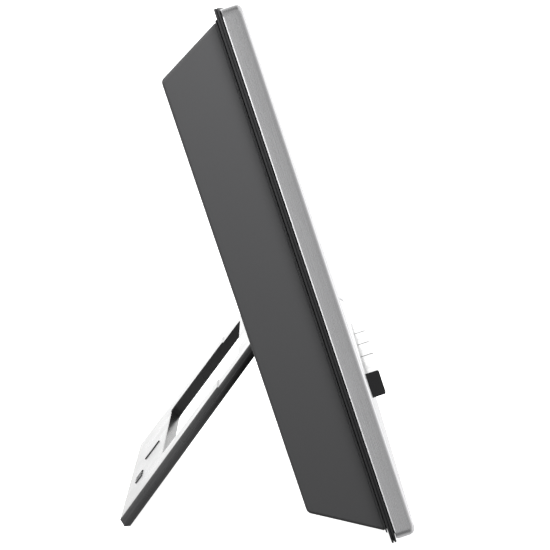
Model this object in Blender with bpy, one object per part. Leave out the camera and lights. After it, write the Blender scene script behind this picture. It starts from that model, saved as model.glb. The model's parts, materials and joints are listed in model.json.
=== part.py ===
"""Digital photo frame on a folding leg: a Blender model, one object for each physical piece.

Everything is modelled in the frame's own upright coordinates: X to the right, Y from the bezel's front
face rearwards, Z up the face from the bezel's lower edge. The empty "frame_lean" then tips the whole
frame back until its rim and the open leg stand level, with the origin under the middle of the object.
"""

import math

import bmesh
import bpy
from mathutils import Vector

MM = 0.001
GAP = 0.3 * MM

# Face and shell
FACE_WIDTH = 225 * MM
FACE_HEIGHT = 180 * MM
BEZEL_DEPTH = 6.8 * MM
BEZEL_SKIN = 1.8 * MM
BEZEL_WALL = 1.6 * MM
BEZEL_FRONT_RADIUS = 2.0 * MM
BEZEL_BACK_CHAMFER = 0.5 * MM
RIM_PROUD = 0.75 * MM
RIM_FRONT = BEZEL_DEPTH + GAP
RIM_BACK = 8.7 * MM
HOUSING_FRONT = RIM_BACK + GAP
HOUSING_BACK = 32.1 * MM
HOUSING_WALL = 2.0 * MM
HOUSING_INSET = 3.1 * MM
SIDE_TAPER = 7.3 * MM
END_TAPER = 12.4 * MM
HOUSING_EDGE_RADIUS = 1.1 * MM
HOUSING_CORNER_RADIUS = 1.4 * MM

# Display
SCREEN_WIDTH = 172.2 * MM
SCREEN_LOW = 54 * MM
SCREEN_HIGH = 162 * MM
DISPLAY_BORDER = 2.4 * MM

# Keys
KEY_LOW = 37.4 * MM
KEY_HEIGHT = 8.8 * MM
KEY_PROUD = 4.8 * MM
KEY_GAP = 0.8 * MM
KEY_WIDTHS = (36.8 * MM, 27.2 * MM, 27.2 * MM, 27.2 * MM)
KEY_NAMES = ("menu", "left", "right", "play")
KEY_CLEARANCE = 0.45 * MM
INFRARED_X = 78 * MM

# Leg and its hinge
LEG_OPEN = math.radians(55)
LEG_LENGTH = 79.8 * MM
LEG_OUTER = 2.33 * MM
LEG_INNER = -1.93 * MM
LEG_STEP = 0.4 * MM
FOOT_FLAT = 1.25 * MM
FOOT_FLAT_Z = 0.33 * MM - LEG_LENGTH
LEG_STEP_FROM_FOOT = 56 * MM
LEG_HEEL = 4.0 * MM
LEG_HALF_TOP = 57.0 * MM
LEG_HALF_FOOT = 67.3 * MM
WINDOW_HALF = 43.3 * MM
WINDOW_LOW = 22.5 * MM
WINDOW_HIGH = 67.5 * MM
LEG_SUNK = 0.5 * MM
HINGE_Y = HOUSING_BACK - LEG_SUNK - LEG_OUTER
HINGE_Z = 69.6 * MM
PIN_RADIUS = 0.95 * MM
PIN_BORE = 1.25 * MM
KNUCKLE_X = 36 * MM
KNUCKLE_HALF = 5.5 * MM
RECESS_FLOOR = 24.6 * MM
RECESS_TOP = HINGE_Z + 4.7 * MM
FLANGE = 1.1 * MM
PAD_PROUD = 0.25 * MM
# The grip ribs on the leg's outer face: (x, start, end), from the foot
LEG_RIBS = (
    (0, 9.2 * MM, 18 * MM),
    (-29 * MM, 5.7 * MM, 9.7 * MM),
    (-25 * MM, 5.7 * MM, 9.7 * MM),
    (-21 * MM, 5.7 * MM, 9.7 * MM),
)
LEG_RIB_HALF = 0.6 * MM
LEG_RIB_PROUD = 0.45 * MM

# Boards and fasteners
KEY_BOARD_FRONT = RIM_BACK + GAP
KEY_BOARD_BACK = KEY_BOARD_FRONT + 1.2 * MM
BOARD_FRONT = 15.0 * MM
BOARD_BACK = 16.4 * MM
PARTS_ON_BOARD = BOARD_BACK + GAP
CASE_SCREW_X = 93.5 * MM
CASE_SCREW_Z = (26 * MM, 154 * MM)
CASE_SCREW_SEAT = 12.0 * MM
LCD_SCREW_X = 94 * MM
LCD_SCREW_Z = (74 * MM, 138 * MM)
BOARD_SCREWS = ((22, 86), (88, 100), (22, 143), (68, 143))
DC_SOCKET_Y = 20.8 * MM
DC_SOCKET_Z = 88 * MM
SWITCH_REST_Z = 97 * MM
ROUND_STEPS = 16


def clear_scene():
    for obj in list(bpy.data.objects):
        bpy.data.objects.remove(obj, do_unlink=True)


def material(name, colour, roughness, metallic=0.0, alpha=1.0):
    found = bpy.data.materials.get(name)
    if found:
        return found
    made = bpy.data.materials.new(name)
    made.use_nodes = True
    shader = made.node_tree.nodes["Principled BSDF"]
    shader.inputs["Base Color"].default_value = (*colour, 1.0)
    shader.inputs["Roughness"].default_value = roughness
    shader.inputs["Metallic"].default_value = metallic
    shader.inputs["Alpha"].default_value = alpha
    return made


# Shapes ------------------------------------------------------------------------------------------


def finish_mesh(name, bm, look=None, parent=None):
    """A mesh object from bm, with its normals facing out and its round faces smooth."""
    bmesh.ops.recalc_face_normals(bm, faces=bm.faces)
    mesh = bpy.data.meshes.new(name)
    bm.to_mesh(mesh)
    bm.free()
    mesh.shade_smooth()
    mesh.set_sharp_from_angle(angle=math.radians(35))
    obj = bpy.data.objects.new(name, mesh)
    bpy.context.scene.collection.objects.link(obj)
    if look:
        mesh.materials.append(look)
    obj.parent = parent
    return obj


def add_block(bm, low, high):
    """A closed box between two corners."""
    made = bmesh.ops.create_cube(bm, size=1.0)
    size = Vector(high) - Vector(low)
    middle = (Vector(high) + Vector(low)) / 2
    bmesh.ops.scale(bm, vec=size, verts=made["verts"])
    bmesh.ops.translate(bm, vec=middle, verts=made["verts"])
    return made["verts"]


def add_loft(bm, rings):
    """A closed body through rings of the same number of points, capped at both ends."""
    loops = [[bm.verts.new(point) for point in ring] for ring in rings]
    count = len(loops[0])
    for first, second in zip(loops, loops[1:]):
        for i in range(count):
            j = (i + 1) % count
            bm.faces.new((first[i], first[j], second[j], second[i]))
    bm.faces.new(list(reversed(loops[0])))
    bm.faces.new(loops[-1])


def circle(centre, radius, axis="Y", steps=ROUND_STEPS):
    """Points of a circle about an axis through centre."""
    points = []
    for i in range(steps):
        angle = 2 * math.pi * (i + 0.5) / steps
        a, b = radius * math.cos(angle), radius * math.sin(angle)
        offset = {"X": (0, a, b), "Y": (a, 0, b), "Z": (a, b, 0)}[axis]
        points.append(Vector(centre) + Vector(offset))
    return points


def add_turned(bm, centre, profile, axis="Y", steps=ROUND_STEPS):
    """A turned body: profile holds (distance along axis, radius) pairs from one end to the other."""
    direction = {"X": Vector((1, 0, 0)), "Y": Vector((0, 1, 0)), "Z": Vector((0, 0, 1))}[axis]
    rings = [circle(Vector(centre) + direction * along, radius, axis, steps) for along, radius in profile]
    add_loft(bm, rings)


def rounded_ring(y, half_width, low, high, radius, steps=4):
    """Points of a rounded rectangle in the plane at depth y."""
    points = []
    corners = (
        (half_width - radius, high - radius, 0),
        (-half_width + radius, high - radius, 90),
        (-half_width + radius, low + radius, 180),
        (half_width - radius, low + radius, 270),
    )
    for x, z, start in corners:
        for i in range(steps + 1):
            angle = math.radians(start + 90 * i / steps)
            points.append((x + radius * math.cos(angle), y, z + radius * math.sin(angle)))
    return points


def block(name, low, high, look=None, parent=None, bevel=0.0):
    bm = bmesh.new()
    add_block(bm, low, high)
    if bevel:
        bmesh.ops.bevel(bm, geom=bm.edges[:], offset=bevel, segments=2, profile=0.5, affect="EDGES")
    return finish_mesh(name, bm, look, parent)


def turned(name, centre, profile, look=None, parent=None, axis="Y", steps=ROUND_STEPS):
    bm = bmesh.new()
    add_turned(bm, centre, profile, axis, steps)
    return finish_mesh(name, bm, look, parent)


def profile_solid(name, outline, x_low, x_high, look=None, parent=None):
    """A solid with the same (y, z) outline from x_low to x_high."""
    bm = bmesh.new()
    add_loft(bm, [[(x, y, z) for y, z in outline] for x in (x_low, x_high)])
    return finish_mesh(name, bm, look, parent)


def helper(obj):
    """Marks a cutter, which takes no part in the model itself."""
    obj.hide_render = True
    obj.display_type = "WIRE"
    return obj


def boolean(obj, other, operation="DIFFERENCE"):
    modifier = obj.modifiers.new(other.name, "BOOLEAN")
    modifier.operation = operation
    modifier.object = helper(other)


def cut_blocks(obj, name, boxes, parent):
    bm = bmesh.new()
    for low, high in boxes:
        add_block(bm, low, high)
    boolean(obj, finish_mesh(name, bm, parent=parent))


def cut_turned(obj, name, turnings, parent, axis="Y", steps=ROUND_STEPS):
    """Cuts one turned hole for each (centre, profile)."""
    bm = bmesh.new()
    for centre, profile in turnings:
        add_turned(bm, centre, profile, axis, steps)
    boolean(obj, finish_mesh(name, bm, parent=parent))


def join_turned(obj, name, turnings, parent, axis="Y", steps=ROUND_STEPS):
    for i, (centre, profile) in enumerate(turnings):
        boolean(obj, turned(f"{name}_{i}", centre, profile, parent=parent, axis=axis, steps=steps), "UNION")


# Front -------------------------------------------------------------------------------------------


def key_spans():
    """(name, left x, right x) of each key, the row centred on the face."""
    x = -(sum(KEY_WIDTHS) + KEY_GAP * (len(KEY_WIDTHS) - 1)) / 2
    spans = []
    for name, width in zip(KEY_NAMES, KEY_WIDTHS):
        spans.append((name, x, x + width))
        x += width + KEY_GAP
    return spans


def case_screw_places():
    return [(x, z) for x in (-CASE_SCREW_X, CASE_SCREW_X) for z in CASE_SCREW_Z]


def lcd_screw_places():
    return [(x, z) for x in (-LCD_SCREW_X, LCD_SCREW_X) for z in LCD_SCREW_Z]


def make_bezel(frame):
    look = material("brushed_metal", (0.60, 0.60, 0.61), 0.35, 0.9)
    half = FACE_WIDTH / 2
    rings = []
    for i in range(5):
        angle = math.radians(90 * i / 4)
        y = BEZEL_FRONT_RADIUS * (1 - math.cos(angle))
        inset = BEZEL_FRONT_RADIUS * (1 - math.sin(angle))
        rings.append(rounded_ring(y, half - inset, inset, FACE_HEIGHT - inset, 3 * MM))
    for y, inset in ((BEZEL_DEPTH - BEZEL_BACK_CHAMFER, 0), (BEZEL_DEPTH, BEZEL_BACK_CHAMFER)):
        rings.append(rounded_ring(y, half - inset, inset, FACE_HEIGHT - inset, 3 * MM))
    bm = bmesh.new()
    add_loft(bm, rings)
    bezel = finish_mesh("bezel", bm, look, frame)
    wall = BEZEL_WALL
    cut_blocks(
        bezel,
        "bezel_hollow",
        [((wall - half, BEZEL_SKIN, wall), (half - wall, 2 * BEZEL_DEPTH, FACE_HEIGHT - wall))],
        frame,
    )
    slope = 1.2 * MM
    bm = bmesh.new()
    rings = []
    for y, out in ((-1 * MM, slope + 1 * MM), (0, slope), (slope, 0), (3 * MM, 0)):
        half_width = SCREEN_WIDTH / 2 + out
        rings.append(rounded_ring(y, half_width, SCREEN_LOW - out, SCREEN_HIGH + out, 0.6 * MM + out, 2))
    add_loft(bm, rings)
    boolean(bezel, finish_mesh("bezel_window", bm, parent=frame))
    spans = key_spans()
    slot_low = (spans[0][1] - KEY_CLEARANCE, -1 * MM, KEY_LOW - KEY_CLEARANCE)
    slot_high = (spans[-1][2] + KEY_CLEARANCE, 3 * MM, KEY_LOW + KEY_HEIGHT + KEY_CLEARANCE)
    cut_blocks(bezel, "bezel_key_slot", [(slot_low, slot_high)], frame)
    lens = (INFRARED_X, 0, KEY_LOW + KEY_HEIGHT / 2)
    cut_turned(bezel, "bezel_lens_hole", [(lens, ((-1 * MM, 2.3 * MM), (3 * MM, 2.3 * MM)))], frame)
    posts = [((x, 0, z), ((1.5 * MM, 2.8 * MM), (BEZEL_DEPTH, 2.8 * MM))) for x, z in case_screw_places()]
    join_turned(bezel, "bezel_post", posts, frame, steps=12)
    holes = [((x, 0, z), ((2.6 * MM, 1.35 * MM), (7 * MM, 1.35 * MM))) for x, z in case_screw_places()]
    cut_turned(bezel, "bezel_pilot_holes", holes, frame, steps=12)


def make_display(frame):
    half = SCREEN_WIDTH / 2 + DISPLAY_BORDER
    low, high = SCREEN_LOW - DISPLAY_BORDER, SCREEN_HIGH + DISPLAY_BORDER
    glass = material("window_glass", (0.03, 0.03, 0.035), 0.05, 0.0, 0.5)
    block("front_window", (-half, 2.1 * MM, low), (half, 3.3 * MM, high), glass, frame)
    panel = material("lcd_glass", (0.02, 0.02, 0.025), 0.15)
    block("lcd_panel", (-half, 3.6 * MM, low), (half, 5.4 * MM, high), panel, frame)
    light = material("backlight_white", (0.82, 0.82, 0.80), 0.5)
    backlight = block("backlight", (-half, 5.7 * MM, low), (half, 9.7 * MM, high), light, frame)
    boxes = []
    for x in (-55 * MM, 0, 55 * MM):
        for z in (80 * MM, 136 * MM):
            corner = Vector((18 * MM, 0, 16 * MM))
            boxes.append((Vector((x, 9.2 * MM, z)) - corner, Vector((x, 11 * MM, z)) + corner))
    cut_blocks(backlight, "backlight_ribs", boxes, frame)
    steel = material("zinc_steel", (0.55, 0.56, 0.57), 0.4, 1.0)
    bracket = block("lcd_bracket", (-half, 10 * MM, low), (half, 10.9 * MM, high), steel, frame)
    for i, (x, z) in enumerate(lcd_screw_places()):
        side = math.copysign(1, x)
        end = side * (LCD_SCREW_X + 3.4 * MM)
        inner, outer = sorted((side * (half - 2 * MM), end))
        low_corner, high_corner = (inner, 10 * MM, z - 4 * MM), (outer, 10.9 * MM, z + 4 * MM)
        ear = block(f"bracket_ear_{i}", low_corner, high_corner, None, frame)
        boolean(bracket, ear, "UNION")
        inner, outer = sorted((side * (half + 1.6 * MM), end))
        low_corner, high_corner = (inner, RIM_BACK + GAP, z - 3.6 * MM), (outer, 10.2 * MM, z + 3.6 * MM)
        foot = block(f"bracket_foot_{i}", low_corner, high_corner, None, frame)
        boolean(bracket, foot, "UNION")
    stand = ((10.5 * MM, 2.2 * MM), (14.7 * MM, 2.2 * MM))
    stands = [((x * MM, 0, z * MM), stand) for x, z in BOARD_SCREWS]
    join_turned(bracket, "bracket_standoff", stands, frame, steps=12)
    holes = [((x * MM, 0, z * MM), ((9 * MM, 1.2 * MM), (16 * MM, 1.2 * MM))) for x, z in BOARD_SCREWS]
    holes += [((x, 0, z), ((8 * MM, 1.2 * MM), (12 * MM, 1.2 * MM))) for x, z in lcd_screw_places()]
    cut_turned(bracket, "bracket_holes", holes, frame, steps=12)
    slots = []
    for x in (-70 * MM, -50 * MM, -30 * MM, -10 * MM):
        slots.append(((x - 3 * MM, 9 * MM, 64 * MM), (x + 3 * MM, 12 * MM, 150 * MM)))
    cut_blocks(bracket, "bracket_slots", slots, frame)


def make_mid_frame(frame):
    look = material("black_plastic", (0.025, 0.025, 0.027), 0.5)
    half = FACE_WIDTH / 2 + RIM_PROUD
    bm = bmesh.new()
    rings = []
    groove = 0.45 * MM
    for y, inset in (
        (RIM_FRONT, 0.2 * MM),
        (RIM_FRONT + 0.15 * MM, 0),
        (7.75 * MM, 0),
        (7.8 * MM, groove),
        (8.0 * MM, groove),
        (8.05 * MM, 0),
        (RIM_BACK - 0.15 * MM, 0),
        (RIM_BACK, 0.2 * MM),
    ):
        side = half - inset
        rings.append(rounded_ring(y, side, inset - RIM_PROUD, FACE_HEIGHT + RIM_PROUD - inset, 3.4 * MM))
    add_loft(bm, rings)
    mid = finish_mesh("mid_frame", bm, look, frame)
    rib_low, rib_high = BEZEL_WALL + 0.4 * MM, FACE_HEIGHT - BEZEL_WALL - 0.4 * MM
    rib_half = FACE_WIDTH / 2 - BEZEL_WALL - 0.4 * MM
    low, high = (-rib_half, 3.6 * MM, rib_low), (rib_half, RIM_FRONT + 0.4 * MM, rib_high)
    rib = block("mid_rib", low, high, None, frame)
    boolean(mid, rib, "UNION")
    thick = 1.3 * MM
    hollow_low = (thick - rib_half, 3 * MM, rib_low + thick)
    hollow_high = (rib_half - thick, RIM_FRONT, rib_high - thick)
    display = SCREEN_WIDTH / 2 + DISPLAY_BORDER + 0.8 * MM
    display_low = (-display, 3 * MM, SCREEN_LOW - DISPLAY_BORDER - 0.8 * MM)
    display_high = (display, 10 * MM, SCREEN_HIGH + DISPLAY_BORDER + 3.2 * MM)
    switch_low = (-50 * MM, 3 * MM, KEY_LOW + 0.2 * MM)
    switch_high = (INFRARED_X + 4 * MM, 10 * MM, KEY_LOW + KEY_HEIGHT - 0.2 * MM)
    boxes = [(hollow_low, hollow_high), (display_low, display_high), (switch_low, switch_high)]
    for i, (low, high) in enumerate(boxes):
        boolean(mid, block(f"mid_cut_{i}", low, high, None, frame))
    holes = [((x, 0, z), ((3 * MM, 1.35 * MM), (10 * MM, 1.35 * MM))) for x, z in case_screw_places()]
    holes += [((x, 0, z), ((3 * MM, 1.1 * MM), (10 * MM, 1.1 * MM))) for x, z in lcd_screw_places()]
    middle = KEY_LOW + KEY_HEIGHT / 2
    holes += [((x, 0, middle), ((3 * MM, 1.1 * MM), (10 * MM, 1.1 * MM))) for x in key_board_screws()]
    cut_turned(mid, "mid_holes", holes, frame, steps=12)
    pockets = []
    for x in base_pad_places():
        low = (x - 9.3 * MM, RIM_FRONT - 0.05 * MM, -2 * MM)
        pockets.append((low, (x + 9.3 * MM, RIM_BACK + 1 * MM, 0.45 * MM)))
    cut_blocks(mid, "mid_pad_pockets", pockets, frame)


def base_pad_places():
    return (-82 * MM, 82 * MM)


def make_base_pads(frame):
    rubber = material("pad_rubber", (0.03, 0.03, 0.03), 0.85)
    low, high = -RIM_PROUD - PAD_PROUD, 0.15 * MM
    front = RIM_FRONT + 0.2 * MM
    sole = ((front, low + 0.4 * MM), (RIM_BACK - 0.8 * MM, low), (RIM_BACK, low))
    outline = (*sole, (RIM_BACK, high), (front, high))
    for side, x in zip(("left", "right"), base_pad_places()):
        profile_solid(f"base_pad_{side}", outline, x - 9 * MM, x + 9 * MM, rubber, frame)


# Keys and their board ----------------------------------------------------------------------------


def make_keys(frame):
    look = material("key_plastic", (0.035, 0.035, 0.038), 0.4)
    middle = KEY_LOW + KEY_HEIGHT / 2
    for name, left, right in key_spans():
        centre = Vector(((left + right) / 2, 0, middle))
        half = (right - left) / 2
        reach = KEY_HEIGHT / 2
        bm = bmesh.new()
        add_block(bm, (-half, -KEY_PROUD, -reach), (half, 2.3 * MM, reach))
        front = [e for e in bm.edges if all(v.co.y < 0 for v in e.verts)]
        bmesh.ops.bevel(bm, geom=front, offset=0.8 * MM, segments=3, profile=0.5, affect="EDGES")
        key = finish_mesh(f"key_{name}", bm, look, frame)
        key.location = centre
        low, high = (-half, 2.1 * MM, -reach - 1.4 * MM), (half, 3.1 * MM, reach + 1.4 * MM)
        flange = block("flange_" + name, low, high)
        stem = turned("stem_" + name, (0, 0, 0), ((2.5 * MM, 1.6 * MM), (3.9 * MM, 1.6 * MM)), steps=12)
        for extra in (flange, stem):
            extra.location = centre
            extra.parent = frame
            boolean(key, extra, "UNION")


def key_board_screws():
    return (-56 * MM, 68 * MM)


def make_key_board(frame):
    board = material("board_green", (0.02, 0.14, 0.05), 0.45)
    middle = KEY_LOW + KEY_HEIGHT / 2
    low, high = (-61 * MM, KEY_BOARD_FRONT, 34 * MM), (84 * MM, KEY_BOARD_BACK, 49.4 * MM)
    key_board = block("key_board", low, high, board, frame)
    holes = [((x, 0, middle), ((8 * MM, 1.1 * MM), (11 * MM, 1.1 * MM))) for x in key_board_screws()]
    cut_turned(key_board, "key_board_holes", holes, frame, steps=12)
    switch = material("switch_body", (0.08, 0.08, 0.085), 0.4)
    back = KEY_BOARD_FRONT - GAP
    for i, (name, left, right) in enumerate(key_spans(), 1):
        x = (left + right) / 2
        low, high = (x - 3 * MM, 6.2 * MM, middle - 3 * MM), (x + 3 * MM, back, middle + 3 * MM)
        body = block(f"tact_switch_{i}", low, high, switch, frame)
        button = ((x, 0, middle), ((5 * MM, 1.5 * MM), (6.8 * MM, 1.5 * MM)))
        join_turned(body, f"actuator_{i}", [button], frame, steps=12)
    lens = material("infrared_lens", (0.05, 0.01, 0.015), 0.1)
    centre = (INFRARED_X, 0, middle)
    flange = ((2.0 * MM, 1.95 * MM), (2.1 * MM, 2.9 * MM), (2.8 * MM, 2.9 * MM))
    turned("infrared_window", centre, ((0.1 * MM, 1.6 * MM), (0.5 * MM, 1.95 * MM), *flange), lens, frame)
    receiver = material("receiver_black", (0.02, 0.02, 0.02), 0.25)
    low = (INFRARED_X - 2.6 * MM, 5.6 * MM, middle - 3 * MM)
    high = (INFRARED_X + 2.6 * MM, back, middle + 3 * MM)
    module = block("infrared_receiver", low, high, receiver, frame)
    dome = [(centre, ((3.6 * MM, 1.0 * MM), (4.1 * MM, 1.8 * MM), (6.2 * MM, 2.0 * MM)))]
    join_turned(module, "receiver_dome", dome, frame, steps=12)


# Rear housing ------------------------------------------------------------------------------------


def taper_at(y):
    """(side, end) inset of the housing's outer wall at depth y."""
    share = (y - HOUSING_FRONT) / (HOUSING_BACK - HOUSING_FRONT)
    return HOUSING_INSET + SIDE_TAPER * share, HOUSING_INSET + END_TAPER * share


def housing_ring(y, inward=0.0, radius=HOUSING_CORNER_RADIUS, steps=4):
    side, end = taper_at(y)
    low, high = end + inward, FACE_HEIGHT - end - inward
    return rounded_ring(y, FACE_WIDTH / 2 - side - inward, low, high, radius, steps)


def recess_ring(y, margin, low_margin):
    """The leg's recess seen from behind: it widens towards the foot, as the leg does."""
    top = RECESS_TOP + margin
    low = -low_margin
    slope = (LEG_HALF_FOOT - LEG_HALF_TOP) / LEG_LENGTH
    half_top = LEG_HALF_TOP + 1.0 * MM + margin
    half_low = half_top + slope * (top - low)
    return [(half_top, y, top), (-half_top, y, top), (-half_low, y, low), (half_low, y, low)]


def make_rear_housing(frame):
    look = material("housing_plastic", (0.075, 0.075, 0.078), 0.55)
    lip, groove = 0.5 * MM, 0.2 * MM
    rings = [
        housing_ring(HOUSING_FRONT, -lip),
        housing_ring(HOUSING_FRONT + 0.45 * MM, -lip),
        housing_ring(HOUSING_FRONT + 0.5 * MM, groove),
        housing_ring(HOUSING_FRONT + 0.8 * MM, groove),
        housing_ring(HOUSING_FRONT + 0.9 * MM),
    ]
    radius = HOUSING_EDGE_RADIUS
    for i in range(5):
        angle = math.radians(22.5 * i)
        depth = HOUSING_BACK - radius * (1 - math.sin(angle))
        rings.append(housing_ring(depth, radius * 0.75 * (1 - math.cos(angle))))
    bm = bmesh.new()
    add_loft(bm, rings)
    housing = finish_mesh("rear_housing", bm, look, frame)

    wall = HOUSING_WALL
    bm = bmesh.new()
    add_loft(bm, [
        housing_ring(HOUSING_FRONT - 1 * MM, wall, 0.8 * MM, 2),
        housing_ring(HOUSING_BACK - wall, wall * 0.75, 0.8 * MM, 2),
    ])
    hollow = finish_mesh("housing_hollow", bm, parent=frame)
    bm = bmesh.new()
    add_loft(bm, [recess_ring(y, wall, 60 * MM) for y in (RECESS_FLOOR - wall, HOUSING_BACK + 5 * MM)])
    boolean(hollow, finish_mesh("recess_keepout", bm, parent=frame))
    column = ((HOUSING_FRONT + 0.4 * MM, 3.8 * MM), (HOUSING_BACK, 3.8 * MM))
    cut_turned(hollow, "column_keepout", [((x, 0, z), column) for x, z in case_screw_places()], frame)
    boolean(housing, hollow)
    bm = bmesh.new()
    add_loft(bm, [recess_ring(y, 0, 60 * MM) for y in (RECESS_FLOOR, HOUSING_BACK + 5 * MM)])
    boolean(housing, finish_mesh("leg_recess", bm, parent=frame))

    well = ((CASE_SCREW_SEAT, 2.9 * MM), (HOUSING_BACK + 2 * MM, 2.9 * MM))
    cut_turned(housing, "screw_wells", [((x, 0, z), well) for x, z in case_screw_places()], frame)
    hole = ((5 * MM, 1.4 * MM), (HOUSING_BACK, 1.4 * MM))
    cut_turned(housing, "screw_holes", [((x, 0, z), hole) for x, z in case_screw_places()], frame, steps=12)
    hole = ((RECESS_FLOOR - 5 * MM, 0.95 * MM), (RECESS_FLOOR + 2 * MM, 0.95 * MM))
    places = [((x, 0, z), hole) for x, z in bracket_screw_places()]
    cut_turned(housing, "bracket_screw_holes", places, frame, steps=12)

    front, back = 28 * MM, HOUSING_BACK + 1 * MM
    slots = []
    for x in range(-28, 29, 8):
        slots.append((((x - 0.9) * MM, front, 118 * MM), ((x + 0.9) * MM, back, 140 * MM)))
    for centre in (-68, 68):
        for step in range(-3, 4):
            reach = math.sqrt(12.5 ** 2 - (step * 3.4) ** 2)
            z = 130 + step * 3.4
            low = ((centre - reach) * MM, front, (z - 0.7) * MM)
            slots.append((low, ((centre + reach) * MM, back, (z + 0.7) * MM)))
    cut_blocks(housing, "housing_slots", slots, frame)
    cut_blocks(housing, "housing_ports", [
        ((100 * MM, 16.9 * MM, 119.6 * MM), (112 * MM, 19.6 * MM, 144.4 * MM)),
        ((100 * MM, 16.9 * MM, 106.8 * MM), (112 * MM, 20.7 * MM, 115.4 * MM)),
        ((100 * MM, 17.3 * MM, 94.9 * MM), (112 * MM, 19.9 * MM, 102.1 * MM)),
    ], frame)
    socket = ((0, DC_SOCKET_Y, DC_SOCKET_Z), ((100 * MM, 3.2 * MM), (112 * MM, 3.2 * MM)))
    cut_turned(housing, "housing_power_hole", [socket], frame, axis="X")


# Electronics -------------------------------------------------------------------------------------


def make_main_board(frame):
    green = material("board_green", (0.02, 0.14, 0.05), 0.45)
    low, high = (18 * MM, BOARD_FRONT, 82 * MM), (99 * MM, BOARD_BACK, 147 * MM)
    board = block("main_board", low, high, green, frame)
    holes = [((x * MM, 0, z * MM), ((14 * MM, 1.3 * MM), (18 * MM, 1.3 * MM))) for x, z in BOARD_SCREWS]
    cut_turned(board, "board_holes", holes, frame, steps=12)
    chip = material("chip_black", (0.02, 0.02, 0.022), 0.35)
    top = PARTS_ON_BOARD
    block("processor", (40 * MM, top, 112 * MM), (57 * MM, top + 1.5 * MM, 129 * MM), chip, frame, 0.25 * MM)
    block("memory_chip", (40 * MM, top, 96 * MM), (58 * MM, top + 1.1 * MM, 104 * MM), chip, frame, 0.2 * MM)
    tin = material("socket_steel", (0.62, 0.63, 0.64), 0.3, 1.0)
    low, high = (73 * MM, top, 118.6 * MM), (102.4 * MM, top + 3.1 * MM, 145.4 * MM)
    card = block("card_socket", low, high, tin, frame)
    mouth = ((76 * MM, top + 0.5 * MM, 120 * MM), (104 * MM, top + 2.6 * MM, 144 * MM))
    cut_blocks(card, "card_mouth", [mouth], frame)
    usb = block("usb_socket", (94 * MM, top, 107 * MM), (102.4 * MM, top + 3.8 * MM, 115.2 * MM), tin, frame)
    mouth = ((95 * MM, top + 0.5 * MM, 107.6 * MM), (104 * MM, top + 3.3 * MM, 114.6 * MM))
    cut_blocks(usb, "usb_mouth", [mouth], frame)
    low, high = (94.5 * MM, top + 1.5 * MM, 108.8 * MM), (101.6 * MM, top + 2.3 * MM, 113.4 * MM)
    boolean(usb, block("usb_tongue", low, high, None, frame), "UNION")
    dark = material("socket_black", (0.025, 0.025, 0.025), 0.4)
    low = (90 * MM, top, DC_SOCKET_Z - 4.2 * MM)
    high = (102.2 * MM, DC_SOCKET_Y + 4.2 * MM, DC_SOCKET_Z + 4.2 * MM)
    power = block("power_socket", low, high, dark, frame, 0.3 * MM)
    centre = (0, DC_SOCKET_Y, DC_SOCKET_Z)
    bore, pin = ((92 * MM, 1.95 * MM), (104 * MM, 1.95 * MM)), ((91 * MM, 0.6 * MM), (101 * MM, 0.6 * MM))
    cut_turned(power, "power_bore", [(centre, bore)], frame, axis="X")
    join_turned(power, "power_pin", [(centre, pin)], frame, axis="X", steps=10)
    cell = (30 * MM, top, 132 * MM)
    holder = turned("battery_holder", cell, ((0, 9.6 * MM), (3.2 * MM, 9.6 * MM)), dark, frame, steps=24)
    cut_turned(holder, "holder_cup", [(cell, ((0.8 * MM, 8.5 * MM), (4 * MM, 8.5 * MM)))], frame, steps=24)
    notch = [((28 * MM, top + 1.4 * MM, 120 * MM), (32 * MM, top + 5 * MM, 126 * MM))]
    cut_blocks(holder, "holder_notch", notch, frame)
    profile = ((1.1 * MM, 7.6 * MM), (1.5 * MM, 8.1 * MM), (3.9 * MM, 8.1 * MM), (4.1 * MM, 7.6 * MM))
    turned("clock_battery", cell, profile, tin, frame, steps=24)


def make_power_switch(frame):
    dark = material("socket_black", (0.025, 0.025, 0.025), 0.4)
    low = (97 * MM, PARTS_ON_BOARD, 94 * MM)
    block("power_switch", low, (102.2 * MM, 20.5 * MM, 103 * MM), dark, frame)
    look = material("key_plastic", (0.035, 0.035, 0.038), 0.4)
    bm = bmesh.new()
    add_block(bm, (102.5 * MM, -0.9 * MM, -1.4 * MM), (107.2 * MM, 0.9 * MM, 1.4 * MM))
    outer = [e for e in bm.edges if all(v.co.x > 105 * MM for v in e.verts)]
    bmesh.ops.bevel(bm, geom=outer, offset=0.35 * MM, segments=2, profile=0.5, affect="EDGES")
    knob = finish_mesh("power_switch_knob", bm, look, frame)
    knob.location = (0, 18.6 * MM, SWITCH_REST_Z)


def make_speakers(frame):
    look = material("speaker_black", (0.03, 0.03, 0.03), 0.6)
    magnet = ((0, 7.5 * MM), (1.6 * MM, 7.5 * MM), (1.7 * MM, 9.5 * MM))
    basket = ((3.8 * MM, 13.4 * MM), (4.6 * MM, 13.4 * MM))
    cone = ((4.0 * MM, 3 * MM), (4.3 * MM, 9 * MM), (5.4 * MM, 12.2 * MM))
    for side, x in (("left", -68 * MM), ("right", 68 * MM)):
        centre = (x, 24.4 * MM, 130 * MM)
        speaker = turned(f"speaker_{side}", centre, magnet + basket, look, frame, steps=24)
        cut_turned(speaker, f"speaker_cone_{side}", [(centre, cone)], frame, steps=24)


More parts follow.
